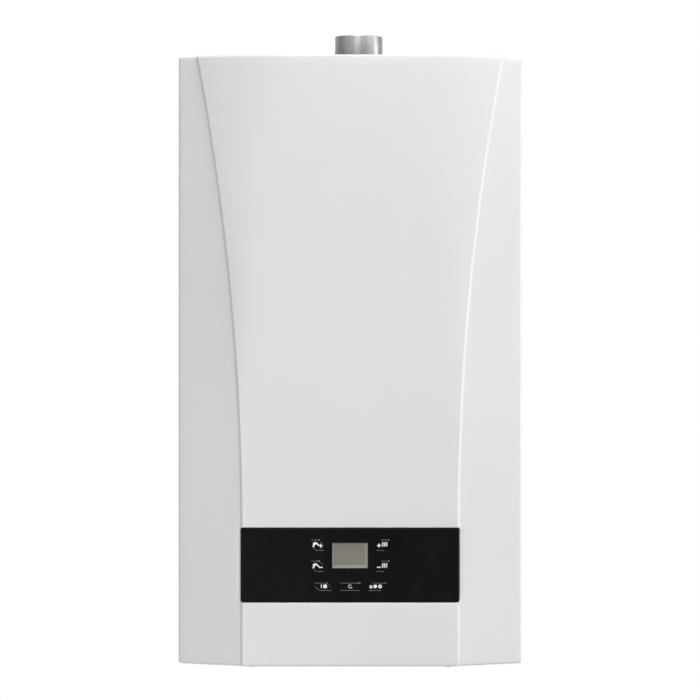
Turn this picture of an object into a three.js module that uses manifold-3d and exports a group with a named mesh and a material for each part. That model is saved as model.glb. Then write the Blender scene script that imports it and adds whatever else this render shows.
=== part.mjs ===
// A wall-hung combi boiler with a sealed air chamber and a fan flue.
// Sizes are in millimetres. X runs to the right, the front faces -Y and Z is up.
// Heights count from the bottom edge of the casing, and distances to the front count from the wall.
// The last lines lower the whole boiler, so that the origin is on the wall face at the hanging slots.

import * as THREE from 'three';
import { mergeVertices } from 'three/addons/utils/BufferGeometryUtils.js';
import Module from 'manifold-3d';

const wasm = await Module();
wasm.setup();

// ---------------------------------------------------------------- driving sizes

const SEAT = 0.3;                // gap left where two pieces rest on each other
const RUNNING_GAP = 0.6;         // gap round a turning or sliding piece

// Casing, one pressed and folded sheet
const CASING_WIDTH = 398;
const CASING_HEIGHT = 704;
const CASING_DEPTH = 299;        // wall to the raised field
const NOSE_DEPTH = 30;           // raised field in front of the side walls
const CASING_SHEET = 1;
const CASING_WALL_GAP = 1;       // casing's rear edge to the wall
const FIELD_WIDTH = 248;         // raised field, below the start of the flare
const FLARE_START = 157;         // height at which the creases begin to lean out
const FLARE_RADIUS = 2880;       // radius of the creases, seen from the front
const CREASE_STEP = 2.5;         // height of the rounded step along each crease
const CREASE_SPREAD = 3;         // width of that step
const ROLL_SLOPE = 0.33;         // slope of the field where it leaves the crease
const EDGE_BEND = 3;
const FLANGE_DEPTH = 18;         // folded edge at the top and bottom of the casing

// Control box and its fascia
const FASCIA_WIDTH = 250.6;
const FASCIA_HEIGHT = 85;
const FASCIA_BOTTOM = 74.2;
const FASCIA_CORNER = 2;
const FASCIA_RECESS = 0.6;       // fascia's face below the raised field
const FASCIA_WALL = 2.5;
const FASCIA_SKIRT = 9;          // depth of the fascia's rim
const OPENING_GAP = 0.5;         // fascia to the casing's opening
const OPENING_LIP = 7;           // folded edge round the casing's opening
const WINDOW_WIDTH = 41.3;
const WINDOW_HEIGHT = 29.6;
const WINDOW_CENTRE = 127.7;
const KEY_GAP = 0.3;
const KEY_RECESS = 0.2;
const KEY_TRAVEL = 1;
const KEY_COLLAR = 1;            // width and thickness of the collar that keeps a key in
const KEY_CORNER = 5.9;          // cut corners of the keys, at most
const BOX_WIDTH = 240;
const BOX_HEIGHT = 92;
const BOX_BOTTOM = 69;
const BOX_LENGTH = 63.1;         // box's rear face to the fascia's rim
const BOX_WALL = 2.2;
const BOARD_SETBACK = 30.4;      // board behind the fascia's face
const BOARD_THICKNESS = 1.6;
const SWITCH_RISE = 4;           // tactile switches on the board
const HINGE_SETBACK = 15;        // hinge behind the raised field
const HINGE_HEIGHT = 60;
const HINGE_PIN = 3;

// Sheet-metal frame
const FRAME_SHEET = 1.5;
const FRAME_FLANGE = 22;
const FRAME_BOTTOM = 10;
const HANG_HEIGHT = 642;         // hanging slots, above the casing's bottom edge
const HANG_PITCH = 150;
const HANG_SLOT_LENGTH = 30;
const HANG_SLOT_HEIGHT = 12;
const RAIL_WIDTH = 300;
const RAIL_HEIGHT = 44;
const RAIL_SHEET = 2;
const TRAY_HEIGHT = 32;
const TRAY_SETBACK = 59;         // tray's front edge behind the raised field
const EAR_SHEET = 2;
const SCREW_RADIUS = 2;
const SCREW_HEAD = 4;

// Sealed air chamber
const CHAMBER_ROOM = 11.7;       // chamber to the frame's side
const CHAMBER_BOTTOM = 255;
const CHAMBER_REAR = 84;         // wall to the partition behind the burner
const CHAMBER_SETBACK = 37;      // chamber behind the raised field
const CHAMBER_SHEET = 1;
const COVER_SHEET = 1;
const SIGHT_RADIUS = 16;
const SIGHT_HEIGHT = 330;

// Flue and fan
const FLUE_RADIUS = 30;
const FLUE_WALL = 1;
const FLUE_RISE = 35;            // stub above the casing
const FLUE_X = 9.3;
const FLUE_DEPTH = 147;
const AIR_INLET_RADIUS = 50;     // ring of open air round the stub
const FLUE_FLANGE_SHEET = 2;
const SCROLL_DEPTH = 56;
const SCROLL_WALL = 1.5;
const SCROLL_START = 62;
const SCROLL_END = 81;
const FAN_HEIGHT = 594;
const FAN_WHEEL_RADIUS = 55;
const FAN_BLADES = 12;
const FAN_EYE = 34;

// Burner, combustion chamber and heat exchanger
const HEARTH_WIDTH = 224;
const HEARTH_DEPTH = 114;
const HEARTH_SETBACK = 31;       // hearth behind the chamber's front
const HEARTH_WALL = 10;
const BURNER_BLADES = 9;
const BURNER_HEIGHT = 52;
const HEARTH_HEIGHT = 104;
const EXCHANGER_HEIGHT = 56;
const EXCHANGER_FINS = 12;
const EXCHANGER_PASSES = 5;        // tubes through the fins, from one stub to the other
const HOOD_HEIGHT = 34;
const HOOD_WALL = 1.2;

// Water side
const TAIL_PITCH = 65;
const TAIL_DEPTH = 95;
const TAIL_END = 4;
const TAIL_LARGE = 13;
const TAIL_SMALL = 10.4;
const TAIL_WALL = 3;
const GROUP_HEIGHT = 84;         // axis of the two water groups
const GROUP_RADIUS = 16;
const PIPE_RADIUS = 9;
const GAS_PIPE_RADIUS = 8;
const PLATE_WIDTH = 184;
const PLATE_HEIGHT = 72;
const PLATE_STACK = 42;
const PLATE_REAR = 34;
const PLATE_PORT = 9;
const PUMP_X = 2 * TAIL_PITCH;
const PUMP_HEIGHT = 166;
const PUMP_RADIUS = 40;
const PUMP_WHEEL = 26;
const VESSEL_RADIUS = 158;
const VESSEL_HEIGHT = 452;
const VESSEL_DEPTH = 76;
const VESSEL_WALL = 1.6;
const GAUGE_RADIUS = 20;
const GAUGE_X = 95;
const GAUGE_SETBACK = 34;        // gauge behind the tray's front edge

// ---------------------------------------------------------------- derived sizes

const FRAME_HALF = CASING_WIDTH / 2 - CASING_SHEET - SEAT;
const FRAME_TOP = CASING_HEIGHT - EDGE_BEND - SEAT;
const CHAMBER_TOP = FRAME_TOP - FRAME_SHEET - SEAT;
const TRAY_TOP = TRAY_HEIGHT + FRAME_SHEET;
const GROUP_SEAT = TRAY_TOP + SEAT;
const SIDE_DEPTH = CASING_DEPTH - NOSE_DEPTH;
const FASCIA_FACE = CASING_DEPTH - FASCIA_RECESS;
const FASCIA_TOP = FASCIA_BOTTOM + FASCIA_HEIGHT;
const BOX_BACK = FASCIA_FACE - FASCIA_SKIRT - SEAT - BOX_LENGTH;
const BOARD_DEPTH = FASCIA_FACE - BOARD_SETBACK;
const HINGE_DEPTH = CASING_DEPTH - HINGE_SETBACK;
const TRAY_DEPTH = CASING_DEPTH - TRAY_SETBACK;
const GAUGE_DEPTH = TRAY_DEPTH - GAUGE_SETBACK;
const CHAMBER_WIDTH = 2 * (FRAME_HALF - CHAMBER_ROOM);
const CHAMBER_FRONT = CASING_DEPTH - CHAMBER_SETBACK;
const HEARTH_FRONT = CHAMBER_FRONT - HEARTH_SETBACK;
const HEARTH_BACK = HEARTH_FRONT - HEARTH_DEPTH;
const FAN_X = FLUE_X + FLUE_RADIUS + SCROLL_WALL - SCROLL_END;
const HEARTH_BOTTOM = CHAMBER_BOTTOM + CHAMBER_SHEET + SEAT + BURNER_HEIGHT + SEAT;
const EXCHANGER_BOTTOM = HEARTH_BOTTOM + HEARTH_HEIGHT + SEAT;
const HOOD_BOTTOM = EXCHANGER_BOTTOM + EXCHANGER_HEIGHT + SEAT;
const SCROLL_BACK = FLUE_DEPTH - SCROLL_DEPTH / 2;
const PLATE_FRONT = PLATE_REAR + PLATE_STACK;

// ---------------------------------------------------------------- shaping tools

// Axes that an outline's first, second and pull directions take for each named pull.
const PULLS = {
  x: new THREE.Matrix4().makeBasis(
    new THREE.Vector3(0, 1, 0), new THREE.Vector3(0, 0, 1), new THREE.Vector3(1, 0, 0)),
  front: new THREE.Matrix4().makeBasis(
    new THREE.Vector3(1, 0, 0), new THREE.Vector3(0, 0, 1), new THREE.Vector3(0, -1, 0)),
  up: new THREE.Matrix4(),
};

// A closed solid from a three.js geometry: corners shared, flat slivers left out.
function solidFrom(geometry) {
  const bare = geometry.clone();
  for (const name of Object.keys(bare.attributes)) {
    if (name !== 'position') bare.deleteAttribute(name);
  }
  const shared = mergeVertices(bare, 1e-4);
  const index = shared.index.array;
  const corners = [];
  for (let i = 0; i < index.length; i += 3) {
    const [a, b, c] = [index[i], index[i + 1], index[i + 2]];
    if (a !== b && b !== c && c !== a) corners.push(a, b, c);
  }
  return new wasm.Manifold(new wasm.Mesh({
    numProp: 3,
    vertProperties: new Float32Array(shared.attributes.position.array),
    triVerts: new Uint32Array(corners),
  }));
}

function geometryFrom(solid) {
  const mesh = solid.getMesh();
  const geometry = new THREE.BufferGeometry();
  geometry.setAttribute('position', new THREE.BufferAttribute(new Float32Array(mesh.vertProperties), 3));
  geometry.setIndex(new THREE.BufferAttribute(new Uint32Array(mesh.triVerts), 1));
  geometry.computeVertexNormals();
  return geometry;
}

function join(...solids) {
  return solids.flat().reduce((whole, solid) => whole.add(solid));
}

function cut(solid, ...tools) {
  return tools.flat().reduce((rest, tool) => rest.subtract(tool), solid);
}

// A block between two opposite corners.
function block(low, high) {
  const size = high.map((value, axis) => value - low[axis]);
  const geometry = new THREE.BoxGeometry(...size);
  geometry.translate(...low.map((value, axis) => value + size[axis] / 2));
  return solidFrom(geometry);
}

// A straight round bar or cone between two points.
function rod(start, end, radius, sides = 10, endRadius = radius) {
  const from = new THREE.Vector3(...start);
  const to = new THREE.Vector3(...end);
  const way = to.clone().sub(from);
  const geometry = new THREE.CylinderGeometry(endRadius, radius, way.length(), sides);
  geometry.applyQuaternion(new THREE.Quaternion().setFromUnitVectors(
    new THREE.Vector3(0, 1, 0), way.clone().normalize()));
  geometry.translate(...from.add(to).multiplyScalar(0.5).toArray());
  return solidFrom(geometry);
}

// A cutting tool for a round hole whose flats still clear the given radius.
function bore(start, end, radius, sides = 12) {
  return rod(start, end, radius / Math.cos(Math.PI / sides), sides);
}

// A turned piece: [radius, distance] pairs along the given way from its base.
function turned(profile, base, way, sides = 24) {
  const geometry = new THREE.LatheGeometry(profile.map(([r, h]) => new THREE.Vector2(r, h)), sides);
  geometry.applyQuaternion(new THREE.Quaternion().setFromUnitVectors(
    new THREE.Vector3(0, 1, 0), new THREE.Vector3(...way).normalize()));
  geometry.translate(...base);
  return solidFrom(geometry);
}

// Points along an arc, the angles in degrees.
function arc(x, y, radius, from, to, steps) {
  return Array.from({ length: steps + 1 }, (_, i) => {
    const angle = THREE.MathUtils.degToRad(from + (to - from) * i / steps);
    return [x + radius * Math.cos(angle), y + radius * Math.sin(angle)];
  });
}

function rounded(left, bottom, right, top, radius, steps = 2) {
  return [
    ...arc(right - radius, bottom + radius, radius, -90, 0, steps),
    ...arc(right - radius, top - radius, radius, 0, 90, steps),
    ...arc(left + radius, top - radius, radius, 90, 180, steps),
    ...arc(left + radius, bottom + radius, radius, 180, 270, steps),
  ];
}

// An outline pulled along x, towards the front or up, starting at a distance from the origin.
function pulled(way, outline, start, length) {
  const shape = new THREE.Shape(outline.map(([a, b]) => new THREE.Vector2(a, b)));
  const geometry = new THREE.ExtrudeGeometry(shape, { depth: length, bevelEnabled: false });
  geometry.translate(0, 0, start);
  geometry.applyMatrix4(PULLS[way]);
  return solidFrom(geometry);
}

// Triangles that close a ring: a fan for a rounded outline, a strip for the cut edge of a folded sheet.
function fanCap(count) {
  return Array.from({ length: count - 2 }, (_, i) => [0, i + 1, i + 2]);
}

function stripCap(count) {
  return Array.from({ length: count / 2 - 1 }, (_, i) => [
    [i, i + 1, count - 2 - i], [i, count - 2 - i, count - 1 - i],
  ]).flat();
}

// A skin through rings of equally many points, closed by a cap at each end.
function lofted(rings, cap = fanCap) {
  const count = rings[0].length;
  const positions = rings.flat().flatMap((point) => [point.x, point.y, point.z]);
  const corners = [];
  for (let ring = 0; ring < rings.length - 1; ring++) {
    for (let i = 0; i < count; i++) {
      const a = ring * count + i;
      const b = ring * count + (i + 1) % count;
      corners.push(a, b, b + count, a, b + count, a + count);
    }
  }
  const last = (rings.length - 1) * count;
  for (const [a, b, c] of cap(count)) {
    corners.push(a, c, b);
    corners.push(last + a, last + b, last + c);
  }
  const geometry = new THREE.BufferGeometry();
  geometry.setAttribute('position', new THREE.Float32BufferAttribute(positions, 3));
  geometry.setIndex(corners);
  return solidFrom(geometry);
}

// A bent pipe's route: straight runs between corner points, with round bends of one radius.
class PipeRoute extends THREE.Curve {
  constructor(corners, bend, stepsPerBend) {
    super();
    const points = corners.map((corner) => new THREE.Vector3(...corner));
    this.stations = [points[0]];
    for (let i = 1; i < points.length - 1; i++) {
      const before = points[i - 1].clone().sub(points[i]).normalize();
      const after = points[i + 1].clone().sub(points[i]).normalize();
      const reach = bend / Math.tan(before.angleTo(after) / 2);
      const start = points[i].clone().addScaledVector(before, reach);
      const end = points[i].clone().addScaledVector(after, reach);
      const middle = before.clone().add(after).normalize();
      const centre = points[i].clone().addScaledVector(middle, bend / Math.sin(before.angleTo(after) / 2));
      for (let step = 0; step <= stepsPerBend; step++) {
        const way = start.clone().lerp(end, step / stepsPerBend).sub(centre).normalize();
        this.stations.push(centre.clone().addScaledVector(way, bend));
      }
    }
    this.stations.push(points[points.length - 1]);
  }

  get steps() {
    return this.stations.length - 1;
  }

  getPointAt(share, target = new THREE.Vector3()) {
    return target.copy(this.stations[Math.round(share * this.steps)]);
  }

  getTangentAt(share, target = new THREE.Vector3()) {
    const here = Math.round(share * this.steps);
    const before = this.stations[Math.max(here - 1, 0)];
    const after = this.stations[Math.min(here + 1, this.steps)];
    return target.copy(after).sub(before).normalize();
  }
}

function pipe(corners, radius, bend, sides = 10, stepsPerBend = 2) {
  const route = new PipeRoute(corners, bend, stepsPerBend);
  const section = new THREE.Shape(arc(0, 0, radius, 0, 360 * (1 - 1 / sides), sides - 1)
    .map(([a, b]) => new THREE.Vector2(a, b)));
  return solidFrom(new THREE.ExtrudeGeometry(section, { steps: route.steps, extrudePath: route }));
}

// ---------------------------------------------------------------- finishes

const FINISHES = {
  enamel: { color: 0xe4e4e3, roughness: 0.35, metalness: 0 },
  galvanised: { color: 0xa9adb0, roughness: 0.42, metalness: 0.9 },
  aluminium: { color: 0xb4b6b8, roughness: 0.38, metalness: 0.95 },
  steel: { color: 0x8f9396, roughness: 0.4, metalness: 0.95 },
  copper: { color: 0xb4704a, roughness: 0.35, metalness: 1 },
  brass: { color: 0xb59a58, roughness: 0.35, metalness: 1 },
  blackGloss: { color: 0x171717, roughness: 0.25, metalness: 0 },
  blackPlastic: { color: 0x1e1e20, roughness: 0.6, metalness: 0 },
  greyPlastic: { color: 0x6d7073, roughness: 0.6, metalness: 0 },
  whitePlastic: { color: 0xd9d9d6, roughness: 0.55, metalness: 0 },
  redPaint: { color: 0x9c2a22, roughness: 0.5, metalness: 0 },
  redPlastic: { color: 0xb3241d, roughness: 0.5, metalness: 0 },
  bluePlastic: { color: 0x2d5f9a, roughness: 0.5, metalness: 0 },
  castGreen: { color: 0x3d4340, roughness: 0.7, metalness: 0.3 },
  display: { color: 0x7d786b, roughness: 0.2, metalness: 0 },
  glass: { color: 0xdfe6e6, roughness: 0.05, metalness: 0, transparent: true, opacity: 0.35 },
  ceramic: { color: 0xe8e2d4, roughness: 0.6, metalness: 0 },
  fibre: { color: 0xd8d2c4, roughness: 0.95, metalness: 0 },
  board: { color: 0x2f6b45, roughness: 0.55, metalness: 0 },
  silicone: { color: 0xc9c4bb, roughness: 0.7, metalness: 0 },
};

function piece(name, solid, finish) {
  const mesh = new THREE.Mesh(geometryFrom(solid), new THREE.MeshStandardMaterial(FINISHES[finish]));
  mesh.name = name;
  return mesh;
}

function group(x, y, z, ...members) {
  const holder = new THREE.Group();
  holder.position.set(x, y, z);
  holder.add(...members);
  return holder;
}

// ---------------------------------------------------------------- casing

// Half width of the raised field at a height: straight, then flaring out on an arc.
function fieldHalf(height) {
  const rise = Math.max(0, height - FLARE_START);
  return FIELD_WIDTH / 2 + FLARE_RADIUS - Math.sqrt(FLARE_RADIUS ** 2 - rise ** 2);
}

// Slope of the wings, so that wing and step together reach the field where the crease is straight.
const WING_SLOPE = (CASING_DEPTH - SIDE_DEPTH - CREASE_STEP)
  / (CASING_WIDTH / 2 - FIELD_WIDTH / 2 - CREASE_SPREAD);

// Right half of the casing's plan at a height, from the rear edge to the field: [x, depth] pairs.
function casingHalf(height) {
  const half = CASING_WIDTH / 2;
  const wing = (x) => SIDE_DEPTH + WING_SLOPE * (half - x);
  const inner = fieldHalf(height);
  const foot = wing(inner + CREASE_SPREAD);
  const crown = foot + CREASE_STEP;
  const drop = Math.max(0, CASING_DEPTH - crown);
  const roll = Math.max(2 * drop / ROLL_SLOPE, FIELD_WIDTH / 12);
  const bend = [0, 0.5, 1].map((t) => [
    half - EDGE_BEND * t * t,
    SIDE_DEPTH - EDGE_BEND * (1 - t) * (1 - t) + WING_SLOPE * EDGE_BEND * t * t,
  ]);
  const step = [0, 0.5, 1].map((t) => [
    inner + CREASE_SPREAD * (1 - t),
    foot + CREASE_STEP * t * t * (3 - 2 * t),
  ]);
  const field = [0.34, 0.67, 1].map((t) => [
    inner - roll * t,
    CASING_DEPTH - drop * (1 - t) * (1 - t),
  ]);
  return [[half, CASING_WALL_GAP], ...bend, ...step, ...field];
}

// The plan as a line from the rear edge on the left to the rear edge on the right, drawn in by an inset.
function casingPlan(height, inset) {
  const right = casingHalf(height);
  const left = right.map(([x, depth]) => [-x, depth]);
  return [...left, ...right.reverse()].map(([x, depth]) => new THREE.Vector3(
    x * (1 - inset / (CASING_WIDTH / 2)),
    -CASING_WALL_GAP - (depth - CASING_WALL_GAP) * (1 - inset / (CASING_DEPTH - CASING_WALL_GAP)),
    height,
  ));
}

// Heights and insets from the lower flange up the front to the upper flange, on the sheet's outer
// or inner face.
function casingRows(sheet) {
  const rows = 5;
  const top = CASING_HEIGHT - EDGE_BEND;
  const bend = EDGE_BEND - sheet;
  const diagonal = bend * Math.SQRT1_2;
  const front = Array.from({ length: rows }, (_, i) => ({
    height: FLARE_START + (top - FLARE_START) * i / rows, inset: sheet,
  }));
  return [
    { height: sheet, inset: FLANGE_DEPTH },
    { height: sheet, inset: EDGE_BEND },
    { height: EDGE_BEND - diagonal, inset: EDGE_BEND - diagonal },
    { height: EDGE_BEND, inset: sheet },
    ...front,
    { height: top, inset: sheet },
    { height: top + diagonal, inset: EDGE_BEND - diagonal },
    { height: CASING_HEIGHT - sheet, inset: EDGE_BEND },
    { height: CASING_HEIGHT - sheet, inset: FLANGE_DEPTH },
  ];
}

const SCREW_X = FASCIA_WIDTH / 2 - 12;       // casing screws, from the middle
const SCREW_DEPTH = CASING_DEPTH - 11;       // casing screws, from the wall

function casingShell() {
  const outer = casingRows(0).map(({ height, inset }) => casingPlan(height, inset));
  const inner = casingRows(CASING_SHEET).map(({ height, inset }) => casingPlan(height, inset));
  const loop = [...inner, ...outer.reverse()];
  const rings = loop[0].map((_, column) => loop.map((row) => row[column]));
  const sheet = lofted(rings, stripCap);

  const halfOpening = FASCIA_WIDTH / 2 + OPENING_GAP;
  const low = FASCIA_BOTTOM - OPENING_GAP;
  const high = FASCIA_TOP + OPENING_GAP;
  const corner = FASCIA_CORNER + OPENING_GAP;
  const opening = rounded(-halfOpening, low, halfOpening, high, corner);
  const lipOutline = rounded(-halfOpening - CASING_SHEET, low - CASING_SHEET,
    halfOpening + CASING_SHEET, high + CASING_SHEET, corner + CASING_SHEET);
  const lipFront = CASING_DEPTH - CREASE_STEP;
  const lip = pulled('front', lipOutline, lipFront - OPENING_LIP, OPENING_LIP);
  const notches = [-SCREW_X, SCREW_X].map((x) => join(
    rod([x, -SCREW_DEPTH, -1], [x, -SCREW_DEPTH, CASING_SHEET + 1], SCREW_RADIUS + RUNNING_GAP),
    block([x - SCREW_RADIUS - RUNNING_GAP, -SCREW_DEPTH, -1],
      [x + SCREW_RADIUS + RUNNING_GAP, -CASING_DEPTH + 2 * FLANGE_DEPTH, CASING_SHEET + 1]),
  ));
  return cut(join(sheet, lip),
    pulled('front', opening, CASING_DEPTH - 3 * OPENING_LIP, 4 * OPENING_LIP), notches);
}

// ---------------------------------------------------------------- frame

function hangingSlots(start, length) {
  return [-HANG_PITCH / 2, HANG_PITCH / 2].map((x) => pulled('front', rounded(
    x - HANG_SLOT_LENGTH / 2, HANG_HEIGHT - HANG_SLOT_HEIGHT / 2,
    x + HANG_SLOT_LENGTH / 2, HANG_HEIGHT + HANG_SLOT_HEIGHT / 2,
    HANG_SLOT_HEIGHT / 2 - 0.5), start, length));
}

function backPlate() {
  const flange = (side) => block(
    [side < 0 ? -FRAME_HALF : FRAME_HALF - FRAME_SHEET, -FRAME_FLANGE, FRAME_BOTTOM],
    [side < 0 ? -FRAME_HALF + FRAME_SHEET : FRAME_HALF, 0, FRAME_TOP]);
  const plate = join(
    block([-FRAME_HALF, -FRAME_SHEET, FRAME_BOTTOM], [FRAME_HALF, 0, FRAME_TOP]),
    flange(-1), flange(1),
    block([-FRAME_HALF, -FRAME_FLANGE, FRAME_TOP - FRAME_SHEET], [FRAME_HALF, 0, FRAME_TOP]),
  );
  return cut(plate, hangingSlots(-1, FRAME_SHEET + 2));
}

function hangingRail() {
  const back = FRAME_SHEET + SEAT;
  const low = HANG_HEIGHT - RAIL_HEIGHT / 2;
  const high = HANG_HEIGHT + RAIL_HEIGHT / 2;
  const lip = 6 * RAIL_SHEET;
  const section = [
    [-back, low], [-back, high], [-back - lip, high], [-back - lip, high - RAIL_SHEET],
    [-back - RAIL_SHEET, high - RAIL_SHEET], [-back - RAIL_SHEET, low + RAIL_SHEET],
    [-back - lip, low + RAIL_SHEET], [-back - lip, low],
  ].reverse();
  return cut(pulled('x', section, -RAIL_WIDTH / 2, RAIL_WIDTH), hangingSlots(0, back + 2 * RAIL_SHEET));
}

// Places of what passes through the tray: [x, distance from the wall, hole radius].
const HOLE_ROOM = 1.5;
const KNOB_STEM = 5;
const SPOUT_RADIUS = 7;
const SPOUT_X = 1.5 * TAIL_PITCH;
const SPOUT_DEPTH = TAIL_DEPTH + 30;
const GLAND_RADIUS = 9;
const GLAND_X = 32.7 - FRAME_HALF;
const GLAND_DEPTH = TRAY_DEPTH - 50;
const TRAY_HOLES = [
  [-2 * TAIL_PITCH, TAIL_DEPTH, TAIL_LARGE + HOLE_ROOM],
  [-TAIL_PITCH, TAIL_DEPTH, TAIL_SMALL + HOLE_ROOM],
  [0, TAIL_DEPTH, TAIL_LARGE + HOLE_ROOM],
  [TAIL_PITCH, TAIL_DEPTH, TAIL_SMALL + HOLE_ROOM],
  [2 * TAIL_PITCH, TAIL_DEPTH, TAIL_LARGE + HOLE_ROOM],
  [-1.5 * TAIL_PITCH, TAIL_DEPTH, KNOB_STEM + HOLE_ROOM],
  [1.5 * TAIL_PITCH, TAIL_DEPTH, KNOB_STEM + HOLE_ROOM],
  [SPOUT_X, SPOUT_DEPTH, SPOUT_RADIUS + HOLE_ROOM],
  [GLAND_X, GLAND_DEPTH, GLAND_RADIUS + SEAT],
  [GAUGE_X, GAUGE_DEPTH, GAUGE_RADIUS + SEAT],
];

const EAR_INNER = BOX_WIDTH / 2 + SEAT + 1;   // inner face of the ears that carry the control box

function bottomTray() {
  const back = -FRAME_SHEET - SEAT;
  const half = FRAME_HALF - FRAME_SHEET - SEAT;
  const floor = CASING_SHEET + SEAT;
  const plate = block([-half, -TRAY_DEPTH, TRAY_HEIGHT], [half, back, TRAY_TOP]);
  const cheek = (side) => block(
    [side < 0 ? -half : half - FRAME_SHEET, -TRAY_DEPTH, FRAME_BOTTOM],
    [side < 0 ? -half + FRAME_SHEET : half, back, TRAY_TOP]);
  const rear = block([-half, back - FRAME_SHEET, TRAY_HEIGHT], [half, back, TRAY_TOP + 10]);
  const earFront = HINGE_DEPTH + 4 * EAR_SHEET;
  const ear = (side) => {
    const outline = [
      [-TRAY_DEPTH + 30, TRAY_HEIGHT], [-TRAY_DEPTH + 30, TRAY_TOP + 4],
      [-HINGE_DEPTH + 18, HINGE_HEIGHT + 2], [-HINGE_DEPTH + 8, HINGE_HEIGHT + 8],
      [-earFront, HINGE_HEIGHT + 8], [-earFront - 1, floor], [-earFront + 22, floor],
    ].reverse();
    const inner = side * EAR_INNER;
    const outer = side * (EAR_INNER + EAR_SHEET);
    const tabEnd = side * (SCREW_X - 2 * SCREW_HEAD);
    return join(
      pulled('x', outline, Math.min(inner, outer), EAR_SHEET),
      block([Math.min(tabEnd, outer), -earFront - 1, floor],
        [Math.max(tabEnd, outer), -earFront + 18, floor + EAR_SHEET]),
    );
  };
  const holes = TRAY_HOLES.map(([x, depth, radius]) =>
    bore([x, -depth, TRAY_HEIGHT - 1], [x, -depth, TRAY_TOP + 1], radius, 8));
  const bores = [-1, 1].map((side) => join(
    bore([side * (EAR_INNER - 1), -HINGE_DEPTH, HINGE_HEIGHT],
      [side * (EAR_INNER + EAR_SHEET + 1), -HINGE_DEPTH, HINGE_HEIGHT], HINGE_PIN + SEAT, 10),
    bore([side * SCREW_X, -SCREW_DEPTH, 0], [side * SCREW_X, -SCREW_DEPTH, floor + EAR_SHEET + 1],
      SCREW_RADIUS + SEAT),
  ));
  return cut(join(plate, cheek(-1), cheek(1), rear, ear(-1), ear(1)), holes, bores);
}

// Casing screw: a low round head under the casing's flange, its shank up through the ear's tab.
function casingScrew(side) {
  const x = side * SCREW_X;
  const head = -SEAT;
  return cut(join(
    rod([x, -SCREW_DEPTH, head - 1.7], [x, -SCREW_DEPTH, head], SCREW_HEAD - 0.6, 16, SCREW_HEAD),
    rod([x, -SCREW_DEPTH, head - 0.5], [x, -SCREW_DEPTH, 9], SCREW_RADIUS, 10),
  ), block([x - 2.4, -SCREW_DEPTH - 0.5, head - 3], [x + 2.4, -SCREW_DEPTH + 0.5, head - 0.9]));
}

// Cable gland in the tray: locknut above, hexagon and dome below.
function cableGland() {
  const hole = 3.5;
  const body = join(
    rod([GLAND_X, -GLAND_DEPTH, TRAY_HEIGHT - 8], [GLAND_X, -GLAND_DEPTH, TRAY_TOP + 12], GLAND_RADIUS, 8),
    rod([GLAND_X, -GLAND_DEPTH, TRAY_TOP + SEAT], [GLAND_X, -GLAND_DEPTH, TRAY_TOP + 6], GLAND_RADIUS + 4, 6),
    rod([GLAND_X, -GLAND_DEPTH, TRAY_HEIGHT - 10], [GLAND_X, -GLAND_DEPTH, TRAY_HEIGHT - SEAT],
      GLAND_RADIUS + 4, 6),
    rod([GLAND_X, -GLAND_DEPTH, TRAY_HEIGHT - 22], [GLAND_X, -GLAND_DEPTH, TRAY_HEIGHT - 10],
      GLAND_RADIUS - 2, 16, GLAND_RADIUS + 2),
  );
  return cut(body, rod([GLAND_X, -GLAND_DEPTH, 0], [GLAND_X, -GLAND_DEPTH, TRAY_TOP + 20], hole, 10));
}

// ---------------------------------------------------------------- sealed air chamber

const GAS_X = 0;
const GAS_DEPTH = 152;
const RISER_X = HEARTH_WIDTH / 2 + 40;       // water pipes beside the hearth
const RISER_DEPTH = (HEARTH_BACK + HEARTH_FRONT) / 2;
const VESSEL_PIPE_X = 60;
const VESSEL_PIPE_DEPTH = 46;
const VESSEL_PIPE = 5;

function airChamberShell() {
  const half = CHAMBER_WIDTH / 2;
  const sheet = CHAMBER_SHEET;
  const back = FRAME_SHEET + SEAT;
  const low = CHAMBER_BOTTOM;
  const outside = block([-half, -CHAMBER_FRONT, low], [half, -back, CHAMBER_TOP]);
  const rimWidth = 9;
  const hearthRoom = block([-half + sheet, -CHAMBER_FRONT + sheet, low + sheet],
    [half - sheet, -CHAMBER_REAR - sheet, CHAMBER_TOP - sheet]);
  const mouth = block([-half + rimWidth, -CHAMBER_FRONT - 1, low + rimWidth],
    [half - rimWidth, -CHAMBER_FRONT + 2 * sheet, CHAMBER_TOP - rimWidth]);
  const vesselRoom = block([-half + sheet, -CHAMBER_REAR, low + sheet],
    [half - sheet, 0, CHAMBER_TOP - sheet]);
  const through = (x, depth, radius) => bore([x, -depth, low - 1], [x, -depth, low + 2 * sheet], radius, 10);
  return cut(outside, hearthRoom, mouth, vesselRoom,
    rod([FLUE_X, -FLUE_DEPTH, CHAMBER_TOP - 2 * sheet], [FLUE_X, -FLUE_DEPTH, CHAMBER_TOP + 1],
      AIR_INLET_RADIUS, 20),
    through(GAS_X, GAS_DEPTH, GAS_PIPE_RADIUS + SEAT),
    through(-RISER_X, RISER_DEPTH, PIPE_RADIUS + SEAT),
    through(RISER_X, RISER_DEPTH, PIPE_RADIUS + SEAT),
    through(VESSEL_PIPE_X, VESSEL_PIPE_DEPTH, VESSEL_PIPE + SEAT));
}

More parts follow.
